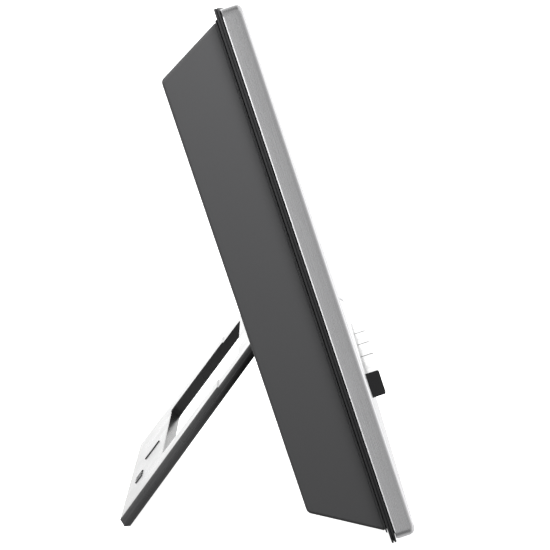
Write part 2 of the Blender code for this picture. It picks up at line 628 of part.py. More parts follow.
def make_display_cable(frame):
    look = material("flex_amber", (0.45, 0.22, 0.04), 0.4)
    thick = 0.25 * MM
    over_the_top = ((4.5, 164.8), (4.5, 166.1), (11.4, 166.1), (11.4, 149))
    into_the_socket = ((12.6, 146.2), (13.9, 146.2), (13.9, 143.4))
    points = [Vector((y * MM, z * MM)) for y, z in over_the_top + into_the_socket]
    near, far = [], []
    for i, point in enumerate(points):
        before = (point - points[i - 1]).normalized() if i else (points[1] - point).normalized()
        after = (points[i + 1] - point).normalized() if i + 1 < len(points) else before
        along = (before + after).normalized()
        across = Vector((-along.y, along.x)) * (thick / 2) / max(0.5, along.dot(before))
        near.append(tuple(point + across))
        far.append(tuple(point - across))
    profile_solid("display_cable", near + far[::-1], 26 * MM, 46 * MM, look, frame)
    cream = material("connector_cream", (0.70, 0.66, 0.55), 0.5)
    low, high = (25 * MM, 12.8 * MM, 138 * MM), (47 * MM, 14.7 * MM, 143.1 * MM)
    block("display_connector", low, high, cream, frame, 0.15 * MM)


# Stand -------------------------------------------------------------------------------------------


def leg_pad_places():
    return (-46 * MM, 46 * MM)


def foot_outline():
    """(y, z) of the leg's foot from its inner face round to its outer face, in the leg's coordinates."""
    flat_start = Vector((LEG_INNER, FOOT_FLAT_Z))
    flat_end = flat_start + FOOT_FLAT * Vector((1, -math.tan(LEG_OPEN - lean_angle())))
    return flat_start, flat_end, Vector((LEG_OUTER, -LEG_LENGTH))


def leg_to_frame(y, z):
    """A point of the open leg, given in the leg's coordinates, in the frame's (depth, height)."""
    c, s = math.cos(LEG_OPEN), math.sin(LEG_OPEN)
    return Vector((HINGE_Y + y * c - z * s, HINGE_Z + y * s + z * c))


def lean_angle():
    """How far the frame tips back when the rim's rear lower edge and the leg's foot share the floor."""
    foot = leg_to_frame(LEG_INNER, FOOT_FLAT_Z)
    edge = Vector((RIM_BACK, -RIM_PROUD))
    return math.atan2(foot.y - edge.y, foot.x - edge.x)


def half_width_at(z):
    share = min(max(-z / LEG_LENGTH, 0), 1)
    return LEG_HALF_TOP + (LEG_HALF_FOOT - LEG_HALF_TOP) * share


def make_leg(hinge):
    look = material("leg_plastic", (0.05, 0.05, 0.052), 0.4)
    flat_start, flat_end, corner = foot_outline()
    step_z = LEG_STEP_FROM_FOOT - LEG_LENGTH
    thin = LEG_OUTER - LEG_STEP
    outline = [
        (LEG_INNER, LEG_HEEL),
        tuple(flat_start),
        tuple(flat_end),
        tuple(corner),
        (LEG_OUTER, step_z),
        (thin, step_z + 0.25 * MM),
        (thin, LEG_HEEL - 0.6 * MM),
        (thin - 0.6 * MM, LEG_HEEL),
    ]
    bm = bmesh.new()
    rings = [[(side * half_width_at(z), y, z) for y, z in outline] for side in (-1, 1)]
    add_loft(bm, rings)
    leg = finish_mesh("stand_leg", bm, look, hinge)
    low, high = WINDOW_LOW - LEG_LENGTH, WINDOW_HIGH - LEG_LENGTH
    bm = bmesh.new()
    add_loft(bm, [rounded_ring(y, WINDOW_HALF, low, high, 3 * MM, 4) for y in (-4 * MM, 4 * MM)])
    boolean(leg, finish_mesh("leg_window", bm, parent=hinge))
    notches = []
    for x in (-KNUCKLE_X, KNUCKLE_X):
        reach = KNUCKLE_HALF + 0.5 * MM
        notches.append(((x - reach, -4 * MM, -3.6 * MM), (x + reach, 4 * MM, LEG_HEEL + 1 * MM)))
    cut_blocks(leg, "leg_notches", notches, hinge)
    bores = []
    for start, end in ((24 * MM, 60 * MM), (-60 * MM, -24 * MM)):
        bores.append(((0, 0, 0), ((start, PIN_BORE), (end, PIN_BORE))))
    cut_turned(leg, "leg_bores", bores, hinge, axis="X", steps=16)
    pockets = []
    for x in leg_pad_places():
        low = (x - 8.3 * MM, LEG_INNER - 1 * MM, -LEG_LENGTH - 2 * MM)
        pockets.append((low, (x + 8.3 * MM, LEG_INNER + 1.7 * MM, -LEG_LENGTH + 2.3 * MM)))
    cut_blocks(leg, "leg_pad_pockets", pockets, hinge)
    for i, (x, start, end) in enumerate(LEG_RIBS):
        low = (x - LEG_RIB_HALF, LEG_OUTER - 0.5 * MM, start - LEG_LENGTH)
        high = (x + LEG_RIB_HALF, LEG_OUTER + LEG_RIB_PROUD, end - LEG_LENGTH)
        boolean(leg, block(f"leg_rib_{i}", low, high, None, hinge), "UNION")


def make_leg_pads(hinge):
    rubber = material("pad_rubber", (0.03, 0.03, 0.03), 0.85)
    flat_start, flat_end, corner = foot_outline()
    down = (flat_end - flat_start).normalized()
    out = Vector((down.y, -down.x))
    top = -LEG_LENGTH + 2.0 * MM
    back = LEG_INNER + 1.4 * MM
    outline = [
        (LEG_INNER, top),
        tuple(flat_start + out * PAD_PROUD),
        tuple(flat_end + out * PAD_PROUD),
        (back, flat_end.y + 0.1 * MM),
        (back, top),
    ]
    for side, x in zip(("left", "right"), leg_pad_places()):
        profile_solid(f"leg_pad_{side}", outline, x - 8 * MM, x + 8 * MM, rubber, hinge)


def bracket_screw_places():
    return [(x + dx, HINGE_Z - 9.5 * MM) for x in (-KNUCKLE_X, KNUCKLE_X) for dx in (-3 * MM, 3 * MM)]


def make_hinge(frame, hinge):
    steel = material("zinc_steel", (0.55, 0.56, 0.57), 0.4, 1.0)
    floor = RECESS_FLOOR + GAP
    for side, sign in (("left", -1), ("right", 1)):
        x = sign * KNUCKLE_X
        bm = bmesh.new()
        arc = []
        for i in range(9):
            angle = math.radians(180 * i / 8)
            arc.append((HINGE_Y + 2.2 * MM * math.sin(angle), HINGE_Z - 2.2 * MM * math.cos(angle)))
        outline = [(floor, HINGE_Z - 12.5 * MM), (floor + FLANGE, HINGE_Z - 12.5 * MM)]
        outline += [(floor + FLANGE, HINGE_Z - 2.9 * MM), (floor + 2 * MM, HINGE_Z - 2.2 * MM)]
        outline += arc
        outline += [(floor, HINGE_Z + 2.2 * MM)]
        rings = [[(x + dx, y, z) for y, z in outline] for dx in (-KNUCKLE_HALF, KNUCKLE_HALF)]
        add_loft(bm, rings)
        bracket = finish_mesh(f"hinge_bracket_{side}", bm, steel, frame)
        bore = [((x, HINGE_Y, HINGE_Z), ((-8 * MM, PIN_BORE), (8 * MM, PIN_BORE)))]
        cut_turned(bracket, f"bracket_bore_{side}", bore, frame, axis="X", steps=16)
        hole = ((20 * MM, 1.15 * MM), (30 * MM, 1.15 * MM))
        holes = [((hx, 0, hz), hole) for hx, hz in bracket_screw_places() if hx * sign > 0]
        cut_turned(bracket, f"bracket_screw_cut_{side}", holes, frame, steps=12)
        start, end = sorted((sign * 24.4 * MM, sign * 56.4 * MM))
        bevel = 0.2 * MM
        near = ((start, PIN_RADIUS - bevel), (start + bevel, PIN_RADIUS))
        far = ((end - bevel, PIN_RADIUS), (end, PIN_RADIUS - bevel))
        turned(f"hinge_pin_{side}", (0, 0, 0), near + far, steel, hinge, axis="X", steps=16)


# Fasteners ---------------------------------------------------------------------------------------


def screw(name, x, z, seat, length, shank, head, frame, look):
    """A pan head screw along Y: its head sits at depth seat and its shank runs forwards."""
    high = 0.62 * head
    profile = (
        (seat - length, shank * 0.5),
        (seat - length + shank, shank),
        (seat, shank),
        (seat + 0.02 * MM, head),
        (seat + high * 0.6, head),
        (seat + high, head * 0.75),
    )
    made = turned(name, (x, 0, z), profile, look, frame, steps=10)
    wide, deep = head * 0.14, high * 0.55
    arm = head * 0.62
    boxes = [
        ((x - wide, seat + high - deep, z - arm), (x + wide, seat + high + 1 * MM, z + arm)),
        ((x - arm, seat + high - deep, z - wide), (x + arm, seat + high + 1 * MM, z + wide)),
    ]
    for i, (low, high_corner) in enumerate(boxes):
        boolean(made, block(f"{name}_drive_{i}", low, high_corner, None, frame))


def make_screws(frame):
    look = material("screw_zinc", (0.50, 0.50, 0.52), 0.35, 1.0)
    on_board = [(x * MM, z * MM) for x, z in BOARD_SCREWS]
    on_keys = [(x, KEY_LOW + KEY_HEIGHT / 2) for x in key_board_screws()]
    bracket_seat = RECESS_FLOOR + 2 * GAP + FLANGE
    groups = (
        ("case_screw", case_screw_places(), CASE_SCREW_SEAT + GAP, 9.2 * MM, 1.0 * MM, 2.3 * MM),
        ("bracket_screw", bracket_screw_places(), bracket_seat, 3.2 * MM, 0.62 * MM, 1.3 * MM),
        ("display_screw", lcd_screw_places(), 10.9 * MM + GAP, 4.6 * MM, 0.75 * MM, 1.8 * MM),
        ("board_screw", on_board, BOARD_BACK + GAP, 4.6 * MM, 0.85 * MM, 2.0 * MM),
        ("key_board_screw", on_keys, KEY_BOARD_BACK + GAP, 3.2 * MM, 0.75 * MM, 1.8 * MM),
    )
    for stem, places, seat, length, shank, head in groups:
        for i, (x, z) in enumerate(places, 1):
            screw(f"{stem}_{i}", x, z, seat, length, shank, head, frame, look)


# Assembly ----------------------------------------------------------------------------------------


def empty(name, parent=None):
    made = bpy.data.objects.new(name, None)
    bpy.context.scene.collection.objects.link(made)
    made.parent = parent
    return made


def stand_on_origin(frame):
    """Moves the whole object so that its box stands centred on the origin."""
    bpy.context.view_layer.update()
    graph = bpy.context.evaluated_depsgraph_get()
    corners = []
    for obj in bpy.context.scene.objects:
        if obj.type == "MESH" and not obj.hide_render:
            shape = obj.evaluated_get(graph)
            mesh = shape.to_mesh()
            corners += [shape.matrix_world @ vertex.co for vertex in mesh.vertices]
            shape.to_mesh_clear()
    low = Vector([min(c[i] for c in corners) for i in range(3)])
    high = Vector([max(c[i] for c in corners) for i in range(3)])
    frame.location -= Vector(((low.x + high.x) / 2, (low.y + high.y) / 2, low.z))


def main():
    clear_scene()
    frame = empty("frame_lean")
    frame.rotation_euler.x = -lean_angle()
    hinge = empty("leg_hinge", frame)
    hinge.location = (0, HINGE_Y, HINGE_Z)
    hinge.rotation_euler.x = LEG_OPEN
    make_bezel(frame)
    make_display(frame)
    make_mid_frame(frame)
    make_base_pads(frame)
    make_keys(frame)
    make_key_board(frame)
    make_rear_housing(frame)
    make_main_board(frame)
    make_power_switch(frame)
    make_speakers(frame)
    make_display_cable(frame)
    make_leg(hinge)
    make_leg_pads(hinge)
    make_hinge(frame, hinge)
    make_screws(frame)
    stand_on_origin(frame)


main()
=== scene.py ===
"""Looks for the digital photo frame.

Finer visible pieces, materials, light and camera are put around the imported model, which stays as it is.
"""

import json
import math

import bmesh
import bpy
from mathutils import Euler, Matrix, Vector


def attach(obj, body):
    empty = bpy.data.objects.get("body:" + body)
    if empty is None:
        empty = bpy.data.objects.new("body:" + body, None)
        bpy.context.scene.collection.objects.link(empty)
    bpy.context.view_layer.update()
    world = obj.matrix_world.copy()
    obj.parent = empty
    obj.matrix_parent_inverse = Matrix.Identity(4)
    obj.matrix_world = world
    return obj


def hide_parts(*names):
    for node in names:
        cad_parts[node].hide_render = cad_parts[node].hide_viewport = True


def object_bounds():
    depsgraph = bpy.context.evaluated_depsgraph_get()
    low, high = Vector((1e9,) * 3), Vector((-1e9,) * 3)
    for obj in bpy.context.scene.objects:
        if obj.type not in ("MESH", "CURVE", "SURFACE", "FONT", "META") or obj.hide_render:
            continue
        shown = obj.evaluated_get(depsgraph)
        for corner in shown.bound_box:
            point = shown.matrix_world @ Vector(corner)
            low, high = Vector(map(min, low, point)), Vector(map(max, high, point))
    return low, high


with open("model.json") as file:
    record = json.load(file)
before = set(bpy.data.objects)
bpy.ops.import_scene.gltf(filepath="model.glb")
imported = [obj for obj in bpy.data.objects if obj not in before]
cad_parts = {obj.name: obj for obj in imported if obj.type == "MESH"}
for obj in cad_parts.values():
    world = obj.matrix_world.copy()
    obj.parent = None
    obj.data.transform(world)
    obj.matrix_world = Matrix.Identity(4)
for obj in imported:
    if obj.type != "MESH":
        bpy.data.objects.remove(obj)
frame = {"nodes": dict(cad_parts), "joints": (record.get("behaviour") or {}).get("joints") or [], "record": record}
cad_low, cad_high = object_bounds()
record = frame["record"]

MM = 0.001

# Shapes are made upright, with X to the right, Y from the bezel's front face rearwards and Z up the face.
# The places and axes of the joints say where the frame stands and how far it leans.
FOLD = next(j for j in frame["joints"] if j["name"] == "leg_fold")
PRESS = next(j for j in frame["joints"] if j["name"] == "key_menu_press")
LEG_OPEN = math.radians(55)
HINGE_Y = 29.27 * MM
HINGE_Z = 69.6 * MM
LEAN = math.atan2(-PRESS["axis"][2], PRESS["axis"][1])
TURN = Matrix.Rotation(-LEAN, 4, "X")
SHIFT = Vector(FOLD["pos_m"]) - TURN @ Vector((0, HINGE_Y, HINGE_Z))
UPRIGHT = Matrix.Translation(SHIFT) @ TURN
HINGE = Matrix.Translation(Vector(FOLD["pos_m"])) @ Matrix.Rotation(LEG_OPEN - LEAN, 4, "X")

# Sizes of the frame, in the upright frame's axes
FACE_WIDTH = 225 * MM
FACE_HEIGHT = 180 * MM
BEZEL_DEPTH = 6.8 * MM
BEZEL_SKIN = 1.8 * MM
BEZEL_WALL = 1.6 * MM
BEZEL_FRONT_RADIUS = 2.0 * MM
BEZEL_CORNER = 3 * MM
RIM_PROUD = 0.75 * MM
RIM_FRONT = 7.1 * MM
RIM_BACK = 8.7 * MM
HOUSING_FRONT = 9.0 * MM
HOUSING_BACK = 32.1 * MM
HOUSING_WALL = 2.0 * MM
HOUSING_INSET = 3.1 * MM
SIDE_TAPER = 7.3 * MM
END_TAPER = 12.4 * MM
HOUSING_EDGE_RADIUS = 1.1 * MM
SCREEN_WIDTH = 172.2 * MM
SCREEN_LOW = 54 * MM
SCREEN_HIGH = 162 * MM
DISPLAY_BORDER = 2.4 * MM
SLOPE_WIDTH = 2.4 * MM
SLOPE_DEPTH = 1.5 * MM
KEY_LOW = 37.4 * MM
KEY_HEIGHT = 8.8 * MM
KEY_PROUD = 4.8 * MM
KEY_GAP = 0.8 * MM
KEY_WIDTHS = (36.8 * MM, 27.2 * MM, 27.2 * MM, 27.2 * MM)
KEY_NAMES = ("menu", "left", "right", "play")
KEY_CLEARANCE = 0.45 * MM
KEY_EDGE_RADIUS = 0.75 * MM
KEY_END_RADIUS = 0.25 * MM
INFRARED_X = 78 * MM
LEG_LENGTH = 79.8 * MM
LEG_OUTER = 2.33 * MM
LEG_INNER = -1.93 * MM
LEG_STEP = 0.4 * MM
LEG_STEP_FROM_FOOT = 56 * MM
FOOT_FLAT = 1.25 * MM
FOOT_FLAT_Z = 0.33 * MM - LEG_LENGTH
LEG_HEEL = 4.0 * MM
LEG_HALF_TOP = 57.0 * MM
LEG_HALF_FOOT = 67.3 * MM
WINDOW_HALF = 43.3 * MM
WINDOW_LOW = 22.5 * MM
WINDOW_HIGH = 67.5 * MM
LEG_CROWN = math.radians(58)
LEG_EDGE_RADIUS = 0.2 * MM
# The grip ribs on the leg's outer face: (across, start, end) in mm, from the foot
LEG_RIBS = ((0, 9.2, 18), (-29, 5.7, 9.7), (-25, 5.7, 9.7), (-21, 5.7, 9.7))
PIN_BORE = 1.25 * MM
KNUCKLE_X = 36 * MM
KNUCKLE_HALF = 5.5 * MM
RECESS_FLOOR = 24.6 * MM
RECESS_TOP = HINGE_Z + 4.7 * MM
FLANGE = 1.1 * MM
FLANGE_SCREW_Z = HINGE_Z - 9.5 * MM
FLANGE_SCREW_X = 3 * MM
GAP = 0.3 * MM
CASE_SCREW_X = 93.5 * MM
CASE_SCREW_Z = (26 * MM, 154 * MM)
CASE_SCREW_SEAT = 12.0 * MM
LCD_SCREW_X = 94 * MM
LCD_SCREW_Z = (74 * MM, 138 * MM)
# The main board's screws: (across, up) in mm
BOARD_SCREWS = ((22, 86), (88, 100), (22, 143), (68, 143))
BOARD_BACK = 16.4 * MM
DC_SOCKET_Y = 20.8 * MM
DC_SOCKET_Z = 88 * MM
SWITCH_Y = 18.6 * MM
SWITCH_REST_Z = 97 * MM
# Ports for the card, the USB plug and the switch: middle depth, half depth, low, high and radius in mm
PORTS = ((18.25, 1.35, 119.6, 144.4, 0.6), (18.8, 1.9, 106.8, 115.4, 0.5), (18.6, 1.3, 94.9, 102.1, 0.5))
VENT_Z = 129 * MM
SPEAKER_X = 68 * MM
SPEAKER_Z = 130 * MM
CORNER_STEPS = 10
# A slot's end radius, as a share of its half width that leaves no two points in one place
NEARLY_ROUND = 0.999

# Sockets of the nodes that mix two values
MIX_FIRST_VALUE, MIX_SECOND_VALUE, MIX_VALUE = 2, 3, 0
MIX_FIRST_COLOUR, MIX_SECOND_COLOUR, MIX_COLOUR = 6, 7, 2


# Materials ---------------------------------------------------------------------------------------


class Surface:
    """A material whose pattern lies still on the frame, in the upright frame's coordinates and metres."""

    def __init__(self, name, colour, roughness, metallic=0.0):
        self.material = bpy.data.materials.new(name)
        self.material.use_nodes = True
        self.tree = self.material.node_tree
        self.shader = self.tree.nodes["Principled BSDF"]
        self.shader.inputs["Base Color"].default_value = (*colour, 1)
        self.shader.inputs["Roughness"].default_value = roughness
        self.shader.inputs["Metallic"].default_value = metallic
        self.colour = colour
        self.roughness = roughness
        place = self.add("ShaderNodeTexCoord")
        turn = self.add("ShaderNodeMapping")
        turn.vector_type = "TEXTURE"
        turn.inputs["Location"].default_value = SHIFT
        turn.inputs["Rotation"].default_value = (-LEAN, 0, 0)
        self.link(place.outputs["Object"], turn.inputs["Vector"])
        self.place = turn.outputs["Vector"]
        self.height = None

    def add(self, kind, **settings):
        node = self.tree.nodes.new(kind)
        for key, value in settings.items():
            setattr(node, key, value)
        return node

    def link(self, source, target):
        self.tree.links.new(source, target)

    def set(self, **values):
        for key, value in values.items():
            self.shader.inputs[key.replace("_", " ")].default_value = value

    def noise(self, size, detail=3.0, stretch=(1, 1, 1), roughness=0.55):
        """Noise whose features are about size metres across, drawn out along each axis by stretch."""
        scale = self.add("ShaderNodeMapping")
        scale.inputs["Scale"].default_value = [1 / (size * s) for s in stretch]
        self.link(self.place, scale.inputs["Vector"])
        node = self.add("ShaderNodeTexNoise")
        node.inputs["Scale"].default_value = 1.0
        node.inputs["Detail"].default_value = detail
        node.inputs["Roughness"].default_value = roughness
        self.link(scale.outputs["Vector"], node.inputs["Vector"])
        return node.outputs["Fac"]

    def spread(self, value, low, high, start=0.3, end=0.7):
        """value's range start to end, spread over low to high."""
        node = self.add("ShaderNodeMapRange")
        node.inputs["From Min"].default_value = start
        node.inputs["From Max"].default_value = end
        node.inputs["To Min"].default_value = low
        node.inputs["To Max"].default_value = high
        self.link(value, node.inputs["Value"])
        return node.outputs["Result"]

    def blend(self, first, share, second):
        """share of the first value, with the rest of the second."""
        part = self.math("MULTIPLY", first, share)
        return self.math("ADD", part, self.math("MULTIPLY", second, 1 - share))

    def math(self, operation, first, second=0.5):
        node = self.add("ShaderNodeMath", operation=operation)
        for socket, value in zip(node.inputs, (first, second)):
            if isinstance(value, (int, float)):
                socket.default_value = value
            else:
                self.link(value, socket)
        return node.outputs["Value"]

    def mix(self, factor, first, second):
        """A colour between two colours, each of them fixed or a socket."""
        node = self.add("ShaderNodeMix", data_type="RGBA")
        self.link(factor, node.inputs["Factor"])
        for socket, value in ((MIX_FIRST_COLOUR, first), (MIX_SECOND_COLOUR, second)):
            if isinstance(value, tuple):
                node.inputs[socket].default_value = (*value, 1)
            else:
                self.link(value, node.inputs[socket])
        return node.outputs[MIX_COLOUR]

    def shade(self, value, amount):
        """Base colour that goes amount lighter and darker as value goes through its range."""
        light = tuple(c * (1 + amount) for c in self.colour)
        dark = tuple(c * (1 - amount) for c in self.colour)
        self.mottle(value, dark, light)

    def mottle(self, value, first, second):
        """Base colour that goes from the first colour to the second as value goes through its range."""
        self.paint(self.mix(self.spread(value, 0, 1), first, second))

    def paint(self, colour):
        self.link(colour, self.shader.inputs["Base Color"])

    def vary_roughness(self, value, amount):
        varied = self.spread(value, self.roughness - amount, self.roughness + amount)
        self.link(varied, self.shader.inputs["Roughness"])

    def bump(self, value, distance, strength=1.0):
        """Relief of about distance metres, added over any set before."""
        node = self.add("ShaderNodeBump")
        node.inputs["Distance"].default_value = distance
        node.inputs["Strength"].default_value = strength
        self.link(value, node.inputs["Height"])
        if self.height:
            self.link(self.height, node.inputs["Normal"])
        self.height = node.outputs["Normal"]
        self.link(self.height, self.shader.inputs["Normal"])


def moulded(name, colour, roughness, grain, relief, vary, blotch, sheen):
    """Moulded plastic: a fine spark-eroded grain over slow changes of shade and sheen.

    grain and blotch are the sizes of the fine and the slow pattern, and relief is the grain's height.
    vary is the change of shade, and sheen the change of roughness.
    """
    made = Surface(name, colour, roughness)
    slow = made.noise(blotch, 2)
    fine = made.noise(grain, 2, roughness=0.6)
    made.shade(made.blend(slow, 0.6, fine), vary)
    made.vary_roughness(slow, sheen)
    made.bump(fine, relief)
    return made


def brushed(name, colour, roughness):
    """Metal brushed up and down on its left and right sides, and from side to side elsewhere."""
    line, length, relief = 0.12 * MM, 14 * MM, 0.004 * MM
    made = Surface(name, colour, roughness, 1.0)
    upright = made.noise(line, 4, (1, 1, length / line), 0.7)
    level = made.noise(line, 4, (length / line, 1, 1), 0.7)
    normal = made.add("ShaderNodeNewGeometry").outputs["Normal"]
    split = made.add("ShaderNodeSeparateXYZ")
    made.link(normal, split.inputs["Vector"])
    sideways = made.spread(made.math("ABSOLUTE", split.outputs["X"]), 0, 1, 0.55, 0.75)
    pick = made.add("ShaderNodeMix", data_type="FLOAT")
    made.link(sideways, pick.inputs["Factor"])
    made.link(level, pick.inputs[MIX_FIRST_VALUE])
    made.link(upright, pick.inputs[MIX_SECOND_VALUE])
    lines = pick.outputs[MIX_VALUE]
    cloud = made.noise(22 * MM, 2)
    made.shade(made.blend(lines, 0.75, cloud), 0.055)
    made.vary_roughness(lines, 0.06)
    made.bump(lines, relief)
    return made


def plated(name, colour, roughness, grain):
    """Plated or ground metal, slightly mottled."""
    made = Surface(name, colour, roughness, 1.0)
    cloud = made.noise(grain * 6, 4)
    fine = made.noise(grain, 3)
    made.shade(cloud, 0.1)
    made.vary_roughness(fine, 0.08)
    made.bump(fine, 0.004 * MM)
    return made


def laminate(name):
    """A circuit board: green mask with paler tracks under it and tinned pads."""
    tracks_per_metre, pads_per_metre = 260.0, 420.0
    made = Surface(name, (0.012, 0.11, 0.045), 0.35)
    cells = made.add("ShaderNodeTexVoronoi", feature="DISTANCE_TO_EDGE", distance="CHEBYCHEV")
    cells.inputs["Scale"].default_value = tracks_per_metre
    made.link(made.place, cells.inputs["Vector"])
    tracks = made.spread(cells.outputs["Distance"], 1, 0, 0.05, 0.09)
    dots = made.add("ShaderNodeTexVoronoi", feature="F1")
    dots.inputs["Scale"].default_value = pads_per_metre
    made.link(made.place, dots.inputs["Vector"])
    pads = made.spread(dots.outputs["Distance"], 1, 0, 0.16, 0.2)
    mask = made.mix(tracks, (0.01, 0.085, 0.035), (0.02, 0.16, 0.06))
    made.paint(made.mix(pads, mask, (0.62, 0.6, 0.52)))
    made.bump(tracks, 0.02 * MM, 0.6)
    return made


# Plastics and rubber: colour, roughness, grain mm, relief mm, change of shade, blotch mm
PLASTICS = {
    "housing_plastic": ((0.036, 0.036, 0.037), 0.5, 0.4, 0.012, 0.05, 14),
    "rim_plastic": ((0.014, 0.014, 0.0145), 0.5, 0.3, 0.005, 0.08, 9),
    "leg_plastic": ((0.027, 0.027, 0.0275), 0.28, 0.5, 0.002, 0.06, 11),
    "key_plastic": ((0.006, 0.006, 0.0065), 0.14, 0.35, 0.003, 0.08, 7),
    "knob_plastic": ((0.04, 0.04, 0.042), 0.4, 0.3, 0.006, 0.08, 3),
    "pad_rubber": ((0.028, 0.028, 0.028), 0.85, 0.25, 0.03, 0.16, 3),
    "chip_black": ((0.018, 0.018, 0.02), 0.45, 0.2, 0.008, 0.12, 4),
    "socket_black": ((0.022, 0.022, 0.022), 0.4, 0.3, 0.006, 0.08, 4),
    "switch_body": ((0.07, 0.07, 0.075), 0.4, 0.3, 0.006, 0.08, 3),
    "connector_cream": ((0.68, 0.63, 0.5), 0.5, 0.3, 0.006, 0.05, 4),
    "backlight_white": ((0.8, 0.8, 0.78), 0.5, 0.4, 0.006, 0.03, 12),
    "speaker_black": ((0.03, 0.03, 0.031), 0.65, 0.3, 0.02, 0.15, 4),
}

# Metals: colour, roughness, grain mm
METALS = {
    "hinge_steel": ((0.58, 0.59, 0.6), 0.32, 0.5),
    "bracket_steel": ((0.62, 0.63, 0.64), 0.4, 0.5),
    "pin_steel": ((0.6, 0.6, 0.61), 0.25, 0.2),
    "screw_zinc": ((0.54, 0.54, 0.55), 0.3, 0.25),
    "socket_steel": ((0.66, 0.66, 0.66), 0.28, 0.4),
    "battery_steel": ((0.7, 0.7, 0.69), 0.22, 0.3),
}


def make_looks():
    """Every material, by the name of its record slot or of the visible piece that it is for."""
    looks = {}
    for name, (colour, roughness, grain, relief, vary, blotch) in PLASTICS.items():
        sheen = 0.015 if name == "leg_plastic" else 0.05
        looks[name] = moulded(name, colour, roughness, grain * MM, relief * MM, vary, blotch * MM, sheen)
    for name, (colour, roughness, grain) in METALS.items():
        looks[name] = plated(name, colour, roughness, grain * MM)
    looks["brushed_bezel"] = brushed("brushed_bezel", (0.80, 0.80, 0.81), 0.28)
    looks["board_green"] = laminate("board_green")
    looks["housing_plastic"].set(Specular_IOR_Level=0.2)
    looks["rim_plastic"].set(Specular_IOR_Level=0.25)

    flex = Surface("flex_amber", (0.42, 0.19, 0.035), 0.3)
    lines = flex.add("ShaderNodeTexWave", wave_type="BANDS", bands_direction="X")
    lines.inputs["Scale"].default_value = 320.0
    flex.link(flex.place, lines.inputs["Vector"])
    copper = flex.spread(lines.outputs["Fac"], 0, 1, 0.55, 0.65)
    flex.paint(flex.mix(copper, (0.46, 0.2, 0.03), (0.24, 0.1, 0.025)))
    flex.vary_roughness(flex.noise(3 * MM), 0.06)
    flex.bump(lines.outputs["Fac"], 0.02 * MM)
    looks["flex_amber"] = flex

    panel = Surface("lcd_glass", (0.03, 0.032, 0.036), 0.28)
    haze = panel.noise(30 * MM, 2)
    panel.mottle(haze, (0.027, 0.029, 0.033), (0.033, 0.035, 0.040))
    panel.vary_roughness(panel.noise(0.5 * MM, 2), 0.04)
    panel.bump(panel.noise(0.25 * MM, 2), 0.002 * MM)
    looks["lcd_glass"] = panel

    glass = Surface("window_glass", (0.92, 0.94, 0.95), 0.03)
    glass.set(Transmission_Weight=1.0, IOR=1.5)
    smears = glass.spread(glass.noise(26 * MM, 3), 0.015, 0.06)
    glass.link(smears, glass.shader.inputs["Roughness"])
    looks["window_glass"] = glass

    lens = Surface("infrared_lens", (0.05, 0.006, 0.01), 0.08)
    lens.set(Coat_Weight=0.5, Coat_Roughness=0.04)
    tint = lens.noise(1.2 * MM, 2)
    lens.mottle(tint, (0.035, 0.004, 0.007), (0.065, 0.009, 0.014))
    lens.vary_roughness(tint, 0.03)
    looks["infrared_lens"] = lens

    printed = Surface("mask_print", (0.008, 0.008, 0.009), 0.3)
    grain = printed.noise(0.3 * MM, 2)
    printed.mottle(grain, (0.006, 0.006, 0.007), (0.011, 0.011, 0.012))
    printed.vary_roughness(grain, 0.06)
    printed.set(Specular_IOR_Level=0.2)
    looks["mask_print"] = printed

    mark = Surface("mark_print", (0.62, 0.63, 0.64), 0.5)
    grain = mark.noise(0.2 * MM, 2)
    mark.mottle(grain, (0.55, 0.56, 0.57), (0.68, 0.69, 0.7))
    mark.vary_roughness(grain, 0.08)
    looks["mark_print"] = mark
    return {name: made.material for name, made in looks.items()}


LOOKS = make_looks()


# Shapes ------------------------------------------------------------------------------------------


def add_block(bm, low, high):
    """A box between two corners."""
    made = bmesh.ops.create_cube(bm, size=1.0)
    bmesh.ops.scale(bm, vec=Vector(high) - Vector(low), verts=made["verts"])
    bmesh.ops.translate(bm, vec=(Vector(high) + Vector(low)) / 2, verts=made["verts"])


def add_loft(bm, rings):
    """A closed body through rings of the same number of points, capped at both ends."""
    loops = [[bm.verts.new(point) for point in ring] for ring in rings]
    count = len(loops[0])
    for first, second in zip(loops, loops[1:]):
        for i in range(count):
            j = (i + 1) % count
            bm.faces.new((first[i], first[j], second[j], second[i]))
    bm.faces.new(list(reversed(loops[0])))
    bm.faces.new(loops[-1])


def circle(centre, radius, axis, steps):
    """Points round axis, the first half a step past its zero angle."""
    points = []
    for i in range(steps):
        angle = 2 * math.pi * (i + 0.5) / steps
        a, b = radius * math.cos(angle), radius * math.sin(angle)
        offset = {"X": (0, a, b), "Y": (a, 0, b)}[axis]
        points.append(Vector(centre) + Vector(offset))
    return points


def add_turned(bm, centre, profile, axis="Y", steps=32):
    """A turned body: profile gives (along, radius) from the centre, along axis."""
    direction = {"X": Vector((1, 0, 0)), "Y": Vector((0, 1, 0))}[axis]
    rings = []
    for along, radius in profile:
        rings.append(circle(Vector(centre) + direction * along, radius, axis, steps))
    add_loft(bm, rings)


def rounded_outline(half_width, low, high, radius, steps=CORNER_STEPS):
    """(across, up) points of a rounded rectangle centred across."""
    points = []
    corners = (
        (half_width - radius, high - radius, 0),
        (-half_width + radius, high - radius, 90),
        (-half_width + radius, low + radius, 180),
        (half_width - radius, low + radius, 270),
    )
    for a, b, start in corners:
        for i in range(steps + 1):
            angle = math.radians(start + 90 * i / steps)
            points.append((a + radius * math.cos(angle), b + radius * math.sin(angle)))
    return points


def rounded_ring(y, half_width, low, high, radius, steps=CORNER_STEPS, middle=0.0):
    """The same outline at a depth y, centred on middle."""
    return [(middle + a, y, b) for a, b in rounded_outline(half_width, low, high, radius, steps)]


def side_ring(x, middle, half_width, low, high, radius, steps=6):
    """The same outline at x, facing sideways, its width along Y."""
    return [(x, middle + a, b) for a, b in rounded_outline(half_width, low, high, radius, steps)]


